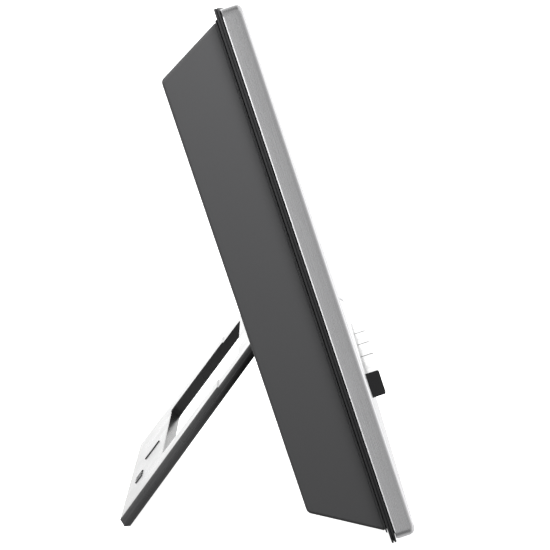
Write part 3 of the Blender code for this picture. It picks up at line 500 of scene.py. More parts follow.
def shape(name, fill, *arguments, **options):
    """An object from what fill adds to an empty bmesh."""
    bm = bmesh.new()
    fill(bm, *arguments, **options)
    return wrap(name, bm)


def wrap(name, bm):
    """The bmesh as an object in the scene, its faces turned outwards."""
    bmesh.ops.recalc_face_normals(bm, faces=bm.faces)
    mesh = bpy.data.meshes.new(name)
    bm.to_mesh(mesh)
    bm.free()
    obj = bpy.data.objects.new(name, mesh)
    bpy.context.scene.collection.objects.link(obj)
    return obj


def boolean(obj, others, operation="DIFFERENCE"):
    """Cuts others out of obj, or joins them to it, and removes them."""
    for other in others:
        modifier = obj.modifiers.new("cut", "BOOLEAN")
        modifier.operation = operation
        modifier.object = other
    bpy.context.view_layer.update()
    shown = obj.evaluated_get(bpy.context.evaluated_depsgraph_get())
    mesh = bpy.data.meshes.new_from_object(shown)
    obj.modifiers.clear()
    obj.data = mesh
    for other in others:
        bpy.data.objects.remove(other)


def present(obj, slot, body, place=UPRIGHT, replaces=(), look=None, angle=32):
    """Puts a finished piece in place: smooth up to an angle, with its body and the material named by its record
    slot or by look.
    """
    mesh = obj.data
    mesh.transform(place)
    mesh.materials.clear()
    mesh.materials.append(LOOKS[look or slot])
    mesh.shade_smooth()
    mesh.set_sharp_from_angle(angle=math.radians(angle))
    even = obj.modifiers.new("even_normals", "WEIGHTED_NORMAL")
    even.keep_sharp = True
    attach(obj, body)
    if replaces:
        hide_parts(*replaces)


# Front -------------------------------------------------------------------------------------------


def key_spans():
    """Each key's name and its left and right sides."""
    x = -(sum(KEY_WIDTHS) + KEY_GAP * (len(KEY_WIDTHS) - 1)) / 2
    spans = []
    for name, width in zip(KEY_NAMES, KEY_WIDTHS):
        spans.append((name, x, x + width))
        x += width + KEY_GAP
    return spans


def make_bezel():
    """The metal front: rounded edges, hollow behind, open for the screen, the keys and the lens."""
    half = FACE_WIDTH / 2
    stations = []
    for i in range(9):
        angle = math.radians(90 * i / 8)
        inset = BEZEL_FRONT_RADIUS * (1 - math.sin(angle))
        stations.append((BEZEL_FRONT_RADIUS * (1 - math.cos(angle)), inset))
    # The rear edge rolls in a little and catches the light
    stations += [(BEZEL_DEPTH - 0.6 * MM, 0), (BEZEL_DEPTH - 0.05 * MM, 0.18 * MM), (BEZEL_DEPTH, 0.3 * MM)]
    rings = []
    for y, inset in stations:
        rings.append(rounded_ring(y, half - inset, inset, FACE_HEIGHT - inset, BEZEL_CORNER))
    bezel = shape("bezel_shell", add_loft, rings)

    hollow = []
    for y in (BEZEL_SKIN, 2 * BEZEL_DEPTH):
        hollow.append(rounded_ring(y, half - BEZEL_WALL, BEZEL_WALL, FACE_HEIGHT - BEZEL_WALL, 1.4 * MM))
    window = []
    for y, out in ((-0.5 * MM, SLOPE_WIDTH + 1 * MM), (0, SLOPE_WIDTH), (SLOPE_DEPTH, 0), (3 * MM, 0)):
        low, high = SCREEN_LOW - out, SCREEN_HIGH + out
        window.append(rounded_ring(y, SCREEN_WIDTH / 2 + out, low, high, 0.6 * MM))
    spans = key_spans()
    left, right = spans[0][1] - KEY_CLEARANCE, spans[-1][2] + KEY_CLEARANCE
    middle, reach = (left + right) / 2, (right - left) / 2
    keys = []
    for y, out in ((-1 * MM, 1.25 * MM), (0, 0.25 * MM), (0.25 * MM, 0), (3 * MM, 0)):
        low, high = KEY_LOW - KEY_CLEARANCE - out, KEY_LOW + KEY_HEIGHT + KEY_CLEARANCE + out
        keys.append(rounded_ring(y, reach + out, low, high, 0.7 * MM + out, middle=middle))
    lens = (INFRARED_X, 0, KEY_LOW + KEY_HEIGHT / 2)
    hole = ((-1 * MM, 3.5 * MM), (0, 2.6 * MM), (0.3 * MM, 2.3 * MM), (3 * MM, 2.3 * MM))
    cutters = [
        shape("cut_hollow", add_loft, hollow),
        shape("cut_window", add_loft, window),
        shape("cut_keys", add_loft, keys),
        shape("cut_lens", add_turned, lens, hole, steps=40),
    ]
    boolean(bezel, cutters)
    # An angle below the slope's own keeps the edge of the screen opening crisp
    present(bezel, "brushed_bezel", "frame", replaces=["bezel"], angle=25)


def make_mask():
    """The black border printed behind the window, round the part of the panel that lights."""
    outer = SCREEN_WIDTH / 2 + DISPLAY_BORDER - 0.4 * MM
    low, high = SCREEN_LOW - DISPLAY_BORDER + 0.4 * MM, SCREEN_HIGH + DISPLAY_BORDER - 0.4 * MM
    sheet = shape("window_mask", add_block, (-outer, 3.4 * MM, low), (outer, 3.5 * MM, high))
    inward = 1.6 * MM
    low, high = SCREEN_LOW + inward, SCREEN_HIGH - inward
    opening = [rounded_ring(y, SCREEN_WIDTH / 2 - inward, low, high, 0.3 * MM, 2) for y in (3 * MM, 4 * MM)]
    boolean(sheet, [shape("cut_mask", add_loft, opening)])
    present(sheet, "lcd_glass", "frame", look="mask_print")


def key_profile(x, reach, inset):
    """A section of a key across its length: square behind, rounded along both front edges."""
    back, steps = 2.2 * MM, 8
    radius = KEY_EDGE_RADIUS - 0.6 * inset
    points = [(x, back, inset - reach)]
    for i in range(steps + 1):
        angle = math.radians(270 - 90 * i / steps)
        y = inset - KEY_PROUD + radius * (1 + math.cos(angle))
        points.append((x, y, inset - reach + radius * (1 + math.sin(angle))))
    for i in range(steps + 1):
        angle = math.radians(180 - 90 * i / steps)
        y = inset - KEY_PROUD + radius * (1 + math.cos(angle))
        points.append((x, y, reach - inset - radius * (1 - math.sin(angle))))
    return points + [(x, back, reach - inset)]


def add_key(bm, half, reach):
    """A key cap with soft ends, and the flange that keeps it behind the bezel."""
    ends = []
    for angle in (0, 0.4, 0.8, 1.2, math.pi / 2):
        ends.append((KEY_END_RADIUS * (1 - math.cos(angle)), KEY_END_RADIUS * (1 - math.sin(angle))))
    stations = [(inward - half, inset) for inward, inset in ends]
    stations += [(half - inward, inset) for inward, inset in reversed(ends)]
    add_loft(bm, [key_profile(x, reach, inset) for x, inset in stations])
    flange = reach + 1.4 * MM
    add_block(bm, (-half, 2.1 * MM, -flange), (half, 3.1 * MM, flange))


def add_symbol(bm, points, y, thick):
    """A flat printed symbol: an outline of (across, up) points a hair thick."""
    add_loft(bm, [[(a, y + d, b) for a, b in points] for d in (0, thick)])


def triangle(size, middle=0.0, way=1):
    """An arrow head that points to the right, or with way -1 to the left."""
    half, tall = size * 0.55, size * 0.62
    return [(middle - way * half, tall), (middle - way * half, -tall), (middle + way * half, 0)]


def bar(across, up, half_width, half_height):
    """A rectangle round a middle point."""
    return [
        (across - half_width, up - half_height),
        (across + half_width, up - half_height),
        (across + half_width, up + half_height),
        (across - half_width, up + half_height),
    ]


def make_keys():
    """The four caps, each with a plain symbol: menu bars, two arrows, and play and pause."""
    size = 1.3 * MM
    pause = [bar(across, 0, 0.24 * MM, 0.8 * MM) for across in (0.7 * MM, 1.6 * MM)]
    symbols = {
        "menu": [bar(0, 1.0 * MM * k, 1.5 * MM, 0.19 * MM) for k in (-1, 0, 1)],
        "left": [triangle(size, way=-1)],
        "right": [triangle(size)],
        "play": [triangle(size, -0.9 * MM), *pause],
    }
    for name, left, right in key_spans():
        middle = Vector(((left + right) / 2, 0, KEY_LOW + KEY_HEIGHT / 2))
        place = UPRIGHT @ Matrix.Translation(middle)
        cap = shape(f"key_cap_{name}", add_key, (right - left) / 2, KEY_HEIGHT / 2)
        present(cap, "key_plastic", f"key_{name}_cap", place, replaces=[f"key_{name}"])
        bm = bmesh.new()
        for points in symbols[name]:
            add_symbol(bm, points, -KEY_PROUD - 0.03 * MM, 0.05 * MM)
        present(wrap(f"key_mark_{name}", bm), "key_plastic", f"key_{name}_cap", place, look="mark_print")


def make_rim():
    """The black frame between bezel and housing: two thin layers outside, and a rib inside the bezel."""
    half = FACE_WIDTH / 2 + RIM_PROUD
    seam, groove = 7.9 * MM, 0.45 * MM
    rings = []
    for y, inset in (
        (RIM_FRONT, 0.2 * MM),
        (RIM_FRONT + 0.08 * MM, 0.06 * MM),
        (RIM_FRONT + 0.2 * MM, 0),
        (seam - 0.22 * MM, 0),
        (seam - 0.14 * MM, 0.1 * MM),
        (seam - 0.1 * MM, groove),
        (seam + 0.1 * MM, groove),
        (seam + 0.14 * MM, 0.1 * MM),
        (seam + 0.22 * MM, 0),
        (RIM_BACK - 0.2 * MM, 0),
        (RIM_BACK - 0.08 * MM, 0.06 * MM),
        (RIM_BACK, 0.2 * MM),
    ):
        low, high = inset - RIM_PROUD, FACE_HEIGHT + RIM_PROUD - inset
        rings.append(rounded_ring(y, half - inset, low, high, 3.4 * MM))
    rim = shape("rim_frame", add_loft, rings)

    rib_low, rib_high = BEZEL_WALL + 0.4 * MM, FACE_HEIGHT - BEZEL_WALL - 0.4 * MM
    rib_half = FACE_WIDTH / 2 - BEZEL_WALL - 0.4 * MM
    rib = [rounded_ring(y, rib_half, rib_low, rib_high, 1.2 * MM) for y in (3.6 * MM, 7.5 * MM)]
    boolean(rim, [shape("rim_rib", add_loft, rib)], "UNION")

    # The rib's inside, the openings for the display and for the keys and lens, and the pads' seats below
    front, back, thick = 3 * MM, 10 * MM, 1.3 * MM
    display = SCREEN_WIDTH / 2 + DISPLAY_BORDER + 0.8 * MM
    low, high = SCREEN_LOW - DISPLAY_BORDER - 0.8 * MM, SCREEN_HIGH + DISPLAY_BORDER + 3.2 * MM
    keys_low, keys_high = KEY_LOW + 0.2 * MM, KEY_LOW + KEY_HEIGHT - 0.2 * MM
    boxes = [
        ((thick - rib_half, front, rib_low + thick), (rib_half - thick, RIM_FRONT, rib_high - thick)),
        ((-display, front, low), (display, back, high)),
        ((-50 * MM, front, keys_low), (INFRARED_X + 4 * MM, back, keys_high)),
    ]
    for x in (-82 * MM, 82 * MM):
        low = (x - 9.3 * MM, RIM_FRONT - 0.05 * MM, -2 * MM)
        boxes.append((low, (x + 9.3 * MM, RIM_BACK + 1 * MM, 0.45 * MM)))
    boolean(rim, [shape(f"cut_rim_{i}", add_block, low, high) for i, (low, high) in enumerate(boxes)])
    present(rim, "rim_plastic", "frame", replaces=["mid_frame"])


# Housing -----------------------------------------------------------------------------------------


def housing_ring(y, inward=0.0, radius=1.4 * MM, steps=CORNER_STEPS):
    """The housing's tapered outline at a depth, drawn in by inward."""
    share = (y - HOUSING_FRONT) / (HOUSING_BACK - HOUSING_FRONT)
    side, end = HOUSING_INSET + SIDE_TAPER * share, HOUSING_INSET + END_TAPER * share
    half = FACE_WIDTH / 2 - side - inward
    return rounded_ring(y, half, end + inward, FACE_HEIGHT - end - inward, radius, steps)


def recess_ring(y, margin, radius=1.5 * MM, steps=6):
    """The leg's recess seen from behind, with rounded upper corners and an open lower end."""
    top, low = RECESS_TOP + margin, -60 * MM
    slope = (LEG_HALF_FOOT - LEG_HALF_TOP) / LEG_LENGTH
    half_top = LEG_HALF_TOP + 1.0 * MM + margin
    half_low = half_top + slope * (top - low)
    points = []
    for side, start in ((1, 0), (-1, 90)):
        for i in range(steps + 1):
            angle = math.radians(start + 90 * i / steps)
            x = side * (half_top - radius) + radius * math.cos(angle)
            points.append((x, y, top - radius + radius * math.sin(angle)))
    return points + [(-half_low, y, low), (half_low, y, low)]


def slot_cutter(name, x, z, half_x, half_z, depths):
    """A slot with round ends through the back of the housing."""
    radius = min(half_x, half_z) * NEARLY_ROUND
    rings = []
    for y, out in depths:
        low, high = z - half_z - out, z + half_z + out
        rings.append(rounded_ring(y, half_x + out, low, high, radius + out, 6, x))
    return shape(name, add_loft, rings)


def make_housing():
    """The rear housing: a tapered shell with a recess for the leg, screw wells, vents and ports."""
    lip, groove, tongue = 0.5 * MM, 0.2 * MM, 0.7 * MM
    # A low tongue inside the lip closes the joint with the mid frame against light
    rings = []
    for depth, inward in (
        (-0.24 * MM, tongue),
        (-0.01 * MM, tongue),
        (0, 0.12 * MM - lip),
        (0.12 * MM, -lip),
        (0.35 * MM, -lip),
        (0.45 * MM, 0.12 * MM - lip),
        (0.5 * MM, groove),
        (0.8 * MM, groove),
        (0.86 * MM, 0.08 * MM),
        (1.0 * MM, 0),
    ):
        rings.append(housing_ring(HOUSING_FRONT + depth, inward))
    radius = HOUSING_EDGE_RADIUS
    for i in range(10):
        angle = math.radians(10 * i)
        depth = HOUSING_BACK - radius * (1 - math.sin(angle))
        rings.append(housing_ring(depth, radius * 0.75 * (1 - math.cos(angle))))
    housing = shape("housing_shell", add_loft, rings)

    wall = HOUSING_WALL
    inside = [
        housing_ring(HOUSING_FRONT - 1 * MM, wall, 0.8 * MM, 4),
        housing_ring(HOUSING_BACK - wall, wall * 0.75, 0.8 * MM, 4),
    ]
    hollow = shape("cut_hollow", add_loft, inside)
    back, beyond = HOUSING_BACK, HOUSING_BACK + 5 * MM
    kept = [recess_ring(y, wall) for y in (RECESS_FLOOR - wall, beyond)]
    keepouts = [shape("keep_recess", add_loft, kept)]
    screws = [(x, z) for x in (-CASE_SCREW_X, CASE_SCREW_X) for z in CASE_SCREW_Z]
    column = ((HOUSING_FRONT + 0.4 * MM, 3.8 * MM), (back, 3.8 * MM))
    for x, z in screws:
        keepouts.append(shape("keep_column", add_turned, (x, 0, z), column))
    boolean(hollow, keepouts)

    recess = [recess_ring(y, 0) for y in (RECESS_FLOOR, beyond)]
    cutters = [hollow, shape("cut_recess", add_loft, recess)]
    well = [(CASE_SCREW_SEAT, 2.9 * MM), (back - 0.3 * MM, 2.9 * MM)]
    well += [(back, 3.2 * MM), (back + 2 * MM, 5.2 * MM)]
    shank = ((5 * MM, 1.4 * MM), (back, 1.4 * MM))
    for x, z in screws:
        cutters.append(shape("cut_well", add_turned, (x, 0, z), well, steps=40))
        cutters.append(shape("cut_shank", add_turned, (x, 0, z), shank, steps=24))
    through = ((back - 4 * MM, 0), (back - 0.2 * MM, 0), (back + 1 * MM, 1.2 * MM))
    for x in range(-28, 29, 8):
        cutters.append(slot_cutter("cut_vent", x * MM, VENT_Z, 0.9 * MM, 11 * MM, through))
    # The sound slots fill a circle in front of each speaker
    circle_radius, pitch = 12.5, 3.4
    for x in (-SPEAKER_X, SPEAKER_X):
        for step in range(-3, 4):
            reach = math.sqrt(circle_radius ** 2 - (step * pitch) ** 2)
            z = SPEAKER_Z + step * pitch * MM
            cutters.append(slot_cutter("cut_sound", x, z, reach * MM, 0.7 * MM, through))
    inner_x, outer_x = 100 * MM, 112 * MM
    for port in PORTS:
        rings = [side_ring(x, *(value * MM for value in port)) for x in (inner_x, outer_x)]
        cutters.append(shape("cut_port", add_loft, rings))
    jack = ((inner_x, 3.2 * MM), (outer_x, 3.2 * MM))
    cutters.append(shape("cut_jack", add_turned, (0, DC_SOCKET_Y, DC_SOCKET_Z), jack, axis="X", steps=40))
    boolean(housing, cutters)
    present(housing, "housing_plastic", "frame", replaces=["rear_housing"])


# Leg ---------------------------------------------------------------------------------------------


def half_width_at(z):
    """Half the leg's width at a height below its hinge."""
    share = min(max(-z / LEG_LENGTH, 0), 1)
    return LEG_HALF_TOP + (LEG_HALF_FOOT - LEG_HALF_TOP) * share


def add_leg(bm):
    """The leg's plate, its two long sides crowned and rounded at their edges."""
    tilt = math.tan(LEG_OPEN - LEAN)
    step_z = LEG_STEP_FROM_FOOT - LEG_LENGTH
    thin = LEG_OUTER - LEG_STEP
    outline = [
        (LEG_INNER, LEG_HEEL),
        (LEG_INNER, FOOT_FLAT_Z),
        (LEG_INNER + FOOT_FLAT, FOOT_FLAT_Z - FOOT_FLAT * tilt),
        (LEG_OUTER, -LEG_LENGTH),
        (LEG_OUTER, step_z),
        (thin, step_z + 0.25 * MM),
        (thin, LEG_HEEL - 0.6 * MM),
        (thin - 0.6 * MM, LEG_HEEL),
    ]
    middle = (LEG_INNER + LEG_OUTER) / 2
    half_thick = (LEG_OUTER - LEG_INNER) / 2
    # Sections of half a side: how far it lies inward, and how much of the thickness it takes
    crown_radius = (half_thick - LEG_EDGE_RADIUS) / math.sin(LEG_CROWN)
    sections = []
    for share in (0.06, 0.28, 0.52, 0.76, 1.0):
        lean = LEG_CROWN * share
        sections.append((crown_radius * (1 - math.cos(lean)), crown_radius * math.sin(lean)))
    inward, reached = sections[-1]
    edge_radius = LEG_EDGE_RADIUS / (1 - math.sin(LEG_CROWN))
    for share in (0.25, 0.5, 0.75, 1.0):
        lean = LEG_CROWN + (math.pi / 2 - LEG_CROWN) * share
        across = edge_radius * (math.cos(LEG_CROWN) - math.cos(lean))
        along = edge_radius * (math.sin(lean) - math.sin(LEG_CROWN))
        sections.append((inward + across, reached + along))
    sections = [(across, along / half_thick) for across, along in sections]
    stations = [(-1, *section) for section in sections] + [(1, *section) for section in reversed(sections)]
    rings = []
    for side, inward, thickness in stations:
        ring = []
        for y, z in outline:
            ring.append((side * (half_width_at(z) - inward), middle + (y - middle) * thickness, z))
        rings.append(ring)
    add_loft(bm, rings)


def make_leg():
    """The folding leg: its plate with a window, hinge notches, bores, pad pockets and grip ribs."""
    leg = shape("leg_plate", add_leg)
    low, high = WINDOW_LOW - LEG_LENGTH, WINDOW_HIGH - LEG_LENGTH
    bevel, beyond = 0.3 * MM, 1 * MM
    window = []
    for y, out in (
        (LEG_INNER - beyond, bevel + beyond),
        (LEG_INNER, bevel),
        (LEG_INNER + bevel, 0),
        (LEG_OUTER - bevel, 0),
        (LEG_OUTER, bevel),
        (LEG_OUTER + beyond, bevel + beyond),
    ):
        window.append(rounded_ring(y, WINDOW_HALF + out, low - out, high + out, 3 * MM + out))
    cutters = [shape("cut_window", add_loft, window)]
    reach = KNUCKLE_HALF + 0.5 * MM
    for x in (-KNUCKLE_X, KNUCKLE_X):
        low_end, high_end = -3.6 * MM, LEG_HEEL + 4 * MM
        notch = [rounded_ring(y, reach, low_end, high_end, 0.8 * MM, 4, x) for y in (-4 * MM, 4 * MM)]
        cutters.append(shape("cut_notch", add_loft, notch))
    for start, end in ((-60 * MM, -24 * MM), (24 * MM, 60 * MM)):
        bore = ((start, PIN_BORE), (end, PIN_BORE))
        cutters.append(shape("cut_bore", add_turned, (0, 0, 0), bore, axis="X", steps=28))
    pad_half = 8.3 * MM
    for x in (-46 * MM, 46 * MM):
        pocket_low = (x - pad_half, LEG_INNER - 1 * MM, -LEG_LENGTH - 2 * MM)
        pocket_high = (x + pad_half, LEG_INNER + 1.7 * MM, -LEG_LENGTH + 2.3 * MM)
        cutters.append(shape("cut_pad", add_block, pocket_low, pocket_high))
    boolean(leg, cutters)

    ribs = []
    for x, start, end in LEG_RIBS:
        low, high = start * MM - LEG_LENGTH, end * MM - LEG_LENGTH
        rings = []
        for height, inset in ((-0.5, 0), (0.3, 0), (0.4, 0.05), (0.45, 0.15)):
            y, half, inset = LEG_OUTER + height * MM, (0.6 - inset) * MM, inset * MM
            radius = half * NEARLY_ROUND
            rings.append(rounded_ring(y, half, low + inset, high - inset, radius, 6, x * MM))
        ribs.append(shape("leg_rib", add_loft, rings))
    boolean(leg, ribs, "UNION")
    present(leg, "leg_plastic", "leg", HINGE, replaces=["stand_leg"])


# Fasteners and trim ------------------------------------------------------------------------------

# A screw head's height, as a share of its radius
HEAD_HEIGHT = 0.62


def add_screw(bm, seat, length, shank, head):
    """A pan head screw with a thread of turned ridges, forwards from its seat; shank and head are radii."""
    tall, core = HEAD_HEIGHT * head, shank * 0.86
    start = seat - length + shank
    profile = [(seat - length, shank * 0.35), (start, core)]
    pitch = shank * 0.55
    turns = int((length - 2.2 * shank) / pitch)
    for i in range(turns):
        profile.append((start + (i + 0.5) * pitch, shank))
        profile.append((start + (i + 1.0) * pitch, core))
    profile += [(seat - 0.1 * MM, shank * 0.9), (seat, shank * 0.95), (seat + 0.02 * MM, head * 0.98)]
    for i in range(6):
        angle = math.radians(18 * i)
        across = head * (0.25 + 0.75 * math.cos(angle))
        profile.append((seat + tall * (0.35 + 0.65 * math.sin(angle)), across))
    add_turned(bm, (0, 0, 0), profile, steps=28)


def make_screws():
    """Every screw, turned a little differently, with a cross recess in its head."""
    middle = KEY_LOW + KEY_HEIGHT / 2
    case = [(x, z) for x in (-CASE_SCREW_X, CASE_SCREW_X) for z in CASE_SCREW_Z]
    display = [(x, z) for x in (-LCD_SCREW_X, LCD_SCREW_X) for z in LCD_SCREW_Z]
    brackets = []
    for x in (-KNUCKLE_X, KNUCKLE_X):
        brackets += [(x - FLANGE_SCREW_X, FLANGE_SCREW_Z), (x + FLANGE_SCREW_X, FLANGE_SCREW_Z)]
    # Name, places, seat, and length, shank's radius and head's radius in mm
    groups = (
        ("case_screw", case, CASE_SCREW_SEAT + GAP, 9.2, 1.0, 2.3),
        ("bracket_screw", brackets, RECESS_FLOOR + 2 * GAP + FLANGE, 3.2, 0.62, 1.3),
        ("display_screw", display, 11.2 * MM, 4.6, 0.75, 1.8),
        ("board_screw", [(a * MM, b * MM) for a, b in BOARD_SCREWS], BOARD_BACK + GAP, 4.6, 0.85, 2.0),
        ("key_board_screw", [(-56 * MM, middle), (68 * MM, middle)], 10.5 * MM, 3.2, 0.75, 1.8),
    )
    for stem, places, seat, length, shank, head in groups:
        top = seat + HEAD_HEIGHT * head * MM
        wide, arm, deep = head * 0.13 * MM, head * 0.58 * MM, head * 0.36 * MM
        for i, (x, z) in enumerate(places, 1):
            made = shape(f"{stem}_turned_{i}", add_screw, seat, length * MM, shank * MM, head * MM)
            cross = [
                shape("cut_drive", add_block, (-wide, top - deep, -arm), (wide, top + 1 * MM, arm)),
                shape("cut_drive", add_block, (-arm, top - deep, -wide), (arm, top + 1 * MM, wide)),
            ]
            boolean(made, cross)
            # Each screw has stopped at its own angle
            spin = Matrix.Translation(Vector((x, 0, z))) @ Matrix.Rotation(0.7 * i + x * 40, 4, "Y")
            present(made, "screw_zinc", "frame", UPRIGHT @ spin, replaces=[f"{stem}_{i}"])


def make_brackets():
    """The two steel hinge leaves: a flange screwed to the recess, and a knuckle round the pin."""
    floor, face, knuckle = RECESS_FLOOR + GAP, RECESS_FLOOR + GAP + FLANGE, 2.2 * MM
    foot = HINGE_Z - 12.5 * MM
    outline = [(floor, foot), (face, foot), (face, HINGE_Z - 2.9 * MM)]
    outline += [(face + 0.25 * MM, HINGE_Z - 2.4 * MM), (floor + 2 * MM, HINGE_Z - knuckle)]
    for i in range(19):
        angle = math.radians(10 * i)
        outline.append((HINGE_Y + knuckle * math.sin(angle), HINGE_Z - knuckle * math.cos(angle)))
    outline.append((floor, HINGE_Z + knuckle))
    for side, x in (("left", -KNUCKLE_X), ("right", KNUCKLE_X)):
        rings = [[(x + dx, y, z) for y, z in outline] for dx in (-KNUCKLE_HALF, KNUCKLE_HALF)]
        bracket = shape(f"hinge_leaf_{side}", add_loft, rings)
        bore = ((x - 8 * MM, PIN_BORE), (x + 8 * MM, PIN_BORE))
        cutters = [shape("cut_bore", add_turned, (0, HINGE_Y, HINGE_Z), bore, axis="X", steps=32)]
        hole = ((20 * MM, 1.15 * MM), (face - 0.15 * MM, 1.15 * MM), (face + 1 * MM, 2.3 * MM))
        for dx in (-FLANGE_SCREW_X, FLANGE_SCREW_X):
            cutters.append(shape("cut_hole", add_turned, (x + dx, 0, FLANGE_SCREW_Z), hole))
        boolean(bracket, cutters)
        present(bracket, "hinge_steel", "frame", replaces=[f"hinge_bracket_{side}"])


def make_switch_knob():
    """The power switch's slider, rounded outside and grooved for a finger nail."""
    inner_x, middle_x, outer_x, grip_x = 102.5 * MM, 105 * MM, 107.15 * MM, 106.85 * MM
    bm = bmesh.new()
    add_block(bm, (inner_x, -0.9 * MM, -1.4 * MM), (outer_x, 0.9 * MM, 1.4 * MM))
    outer = [edge for edge in bm.edges if all(vert.co.x > middle_x for vert in edge.verts)]
    bmesh.ops.bevel(bm, geom=outer, offset=0.4 * MM, segments=4, profile=0.5, affect="EDGES")
    knob = wrap("switch_slider", bm)
    grooves = []
    for z in (-0.7, 0, 0.7):
        low, high = (z - 0.14) * MM, (z + 0.14) * MM
        groove = ((grip_x, -1.2 * MM, low), (108 * MM, 1.2 * MM, high))
        grooves.append(shape("cut_grip", add_block, *groove))
    boolean(knob, grooves)
    place = UPRIGHT @ Matrix.Translation(Vector((0, SWITCH_Y, SWITCH_REST_Z)))
    present(knob, "knob_plastic", "switch_knob", place, replaces=["power_switch_knob"])


def make_lens():
    """The infrared window, domed a little, with its hidden flange."""
    front, flat, dome, flange = 0.12 * MM, 0.35 * MM, 0.4 * MM, 2.9 * MM
    across = 1.6 * MM
    profile = []
    for i in range(7):
        angle = math.radians(15 * i)
        profile.append((front + dome * (1 - math.cos(angle)), flat + across * math.sin(angle)))
    profile += [(2.0 * MM, flat + across), (2.1 * MM, flange), (2.8 * MM, flange)]
    lens = shape("infrared_dome", add_turned, (INFRARED_X, 0, KEY_LOW + KEY_HEIGHT / 2), profile, steps=40)
    present(lens, "infrared_lens", "frame", replaces=["infrared_window"])


def make_grilles():
    """Dust cloth behind the sound slots and the vents, just inside the back wall."""
    depth = HOUSING_BACK - HOUSING_WALL - 0.25 * MM
    cloth = Surface("dust_cloth", (0.012, 0.012, 0.012), 0.9)
    weave = cloth.add("ShaderNodeTexVoronoi", feature="F1")
    weave.inputs["Scale"].default_value = 1800.0
    cloth.link(cloth.place, weave.inputs["Vector"])
    cloth.paint(cloth.mix(weave.outputs["Distance"], (0.02, 0.02, 0.02), (0.004, 0.004, 0.004)))
    cloth.bump(weave.outputs["Distance"], 0.05 * MM)
    LOOKS["dust_cloth"] = cloth.material
    thick, half_x, half_z, radius = 0.1 * MM, 31 * MM, 12.5 * MM, 13.6 * MM
    low, high = (-half_x, depth - thick, VENT_Z - half_z), (half_x, depth, VENT_Z + half_z)
    sheet = shape("dust_cloth_vents", add_block, low, high)
    present(sheet, "speaker_black", "frame", look="dust_cloth")
    profile = ((-thick, radius), (0, radius))
    for side, x in (("left", -SPEAKER_X), ("right", SPEAKER_X)):
        disc = shape(f"dust_cloth_{side}", add_turned, (x, depth, SPEAKER_Z), profile, steps=40)
        present(disc, "speaker_black", "frame", look="dust_cloth")


def dress_cad_nodes():
    """Gives each CAD node that still shows the material of its record slot."""
    slots = {part["node"]: part["material_slot"] for part in record["subparts"]}
    for name, obj in frame["nodes"].items():
        if obj.hide_render:
            continue
        obj.data.materials.clear()
        obj.data.materials.append(LOOKS[slots[name]])


# Studio ------------------------------------------------------------------------------------------

# The studio's even light, and its soft patches: direction, the cosines between which a patch fades in, and
# how much light it adds or takes away
STUDIO_GREY = 0.385
STUDIO_PATCHES = (
    ((1, 0, 0), -0.75, 0.3, 0.5),
    ((1, 0, 0), 0.88, 0.975, 0.27),
    ((0.98, 0.1, 0.17), 0.92, 0.985, 1.7),
    ((-0.8, 0.57, -0.1), 0.9, 0.98, 1.8),
    ((0, 0, -1), 0.3, 0.9, -0.3),
    ((0, 0, 1), 0.75, 0.97, -0.5),
    ((0.39, -0.91, 0.13), 0.94, 0.99, 0.55),
)
CAMERA_PLACE = (-0.8095, -0.005778, 0.176901)
CAMERA_TURN = (82.923, 18.445, -90.384)
CAMERA_LENS = 144.2


def make_floor():
    """A plain pale floor that neither colours nor reflects in the frame."""
    reach, below = 30.0, 0.02 * MM
    bm = bmesh.new()
    bmesh.ops.create_grid(bm, x_segments=1, y_segments=1, size=reach)
    floor = wrap("studio_floor", bm)
    floor.location.z = cad_low.z - below
    paper = bpy.data.materials.new("studio_paper")
    paper.use_nodes = True
    shader = paper.node_tree.nodes["Principled BSDF"]
    shader.inputs["Base Color"].default_value = (0.93, 0.93, 0.93, 1)
    shader.inputs["Roughness"].default_value = 0.95
    shader.inputs["Emission Color"].default_value = (1, 1, 1, 1)
    shader.inputs["Emission Strength"].default_value = 1.0
    floor.data.materials.append(paper)
    floor.visible_diffuse = False
    floor.visible_glossy = False


def area_light(name, place, target, size, power):
    """A soft light that shows neither to the camera nor in reflections."""
    light = bpy.data.lights.new(name, "AREA")
    light.shape = "RECTANGLE"
    light.size, light.size_y = size
    light.energy = power
    obj = bpy.data.objects.new(name, light)
    bpy.context.scene.collection.objects.link(obj)
    obj.location = place
    obj.rotation_euler = (Vector(target) - Vector(place)).to_track_quat("-Z", "Y").to_euler()
    obj.visible_camera = False
    obj.visible_glossy = False


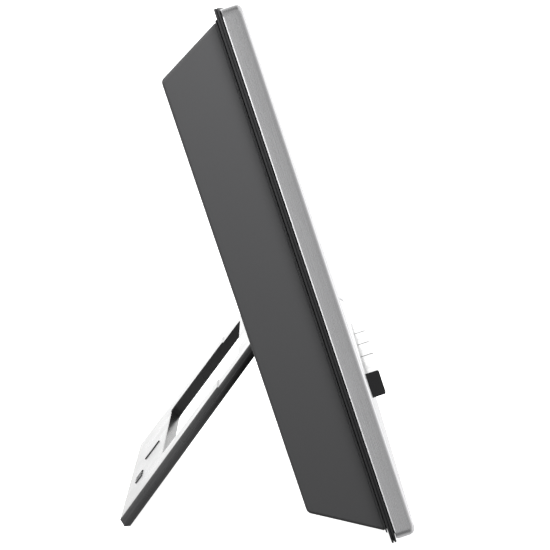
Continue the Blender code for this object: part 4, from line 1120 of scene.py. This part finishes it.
def make_world():
    """A grey studio, brighter on the frame's right and in small patches, darker above and below."""
    world = bpy.data.worlds.new("studio")
    bpy.context.scene.world = world
    world.use_nodes = True
    tree = world.node_tree
    background = tree.nodes["Background"]
    background.inputs["Color"].default_value = (1, 1, 1, 1)
    place = tree.nodes.new("ShaderNodeTexCoord")
    total = None
    for direction, start, end, strength in STUDIO_PATCHES:
        dot = tree.nodes.new("ShaderNodeVectorMath")
        dot.operation = "DOT_PRODUCT"
        dot.inputs[1].default_value = Vector(direction).normalized()
        spread = tree.nodes.new("ShaderNodeMapRange")
        spread.interpolation_type = "SMOOTHSTEP"
        spread.inputs["From Min"].default_value = start
        spread.inputs["From Max"].default_value = end
        spread.inputs["To Min"].default_value = 0.0
        spread.inputs["To Max"].default_value = strength
        tree.links.new(place.outputs["Generated"], dot.inputs[0])
        tree.links.new(dot.outputs["Value"], spread.inputs["Value"])
        add = tree.nodes.new("ShaderNodeMath")
        add.inputs[1].default_value = STUDIO_GREY
        tree.links.new(spread.outputs["Result"], add.inputs[0])
        if total:
            tree.links.new(total, add.inputs[1])
        total = add.outputs["Value"]
    tree.links.new(total, background.inputs["Strength"])


def make_camera():
    """Low on the frame's left side, looking almost straight along its width."""
    data = bpy.data.cameras.new("camera")
    data.lens = CAMERA_LENS
    data.sensor_width = 36
    camera = bpy.data.objects.new("camera", data)
    bpy.context.scene.collection.objects.link(camera)
    turn = Euler([math.radians(angle) for angle in CAMERA_TURN]).to_matrix().to_4x4()
    camera.matrix_world = UPRIGHT @ Matrix.Translation(CAMERA_PLACE) @ turn
    bpy.context.scene.camera = camera
    bpy.context.scene.view_settings.view_transform = "Standard"


make_camera()
make_bezel()
make_mask()
make_keys()
make_rim()
make_housing()
make_leg()
make_screws()
make_brackets()
make_switch_knob()
make_lens()
make_grilles()
dress_cad_nodes()
make_floor()
make_world()
area_light("key_light", (-0.35, -0.05, 0.37), (-0.1, 0.02, 0.24), (0.2, 0.16), 4.7)
area_light("back_light", (0.2, 0.75, 0.5), (0.0, 0.03, 0.09), (0.5, 0.4), 7.0)
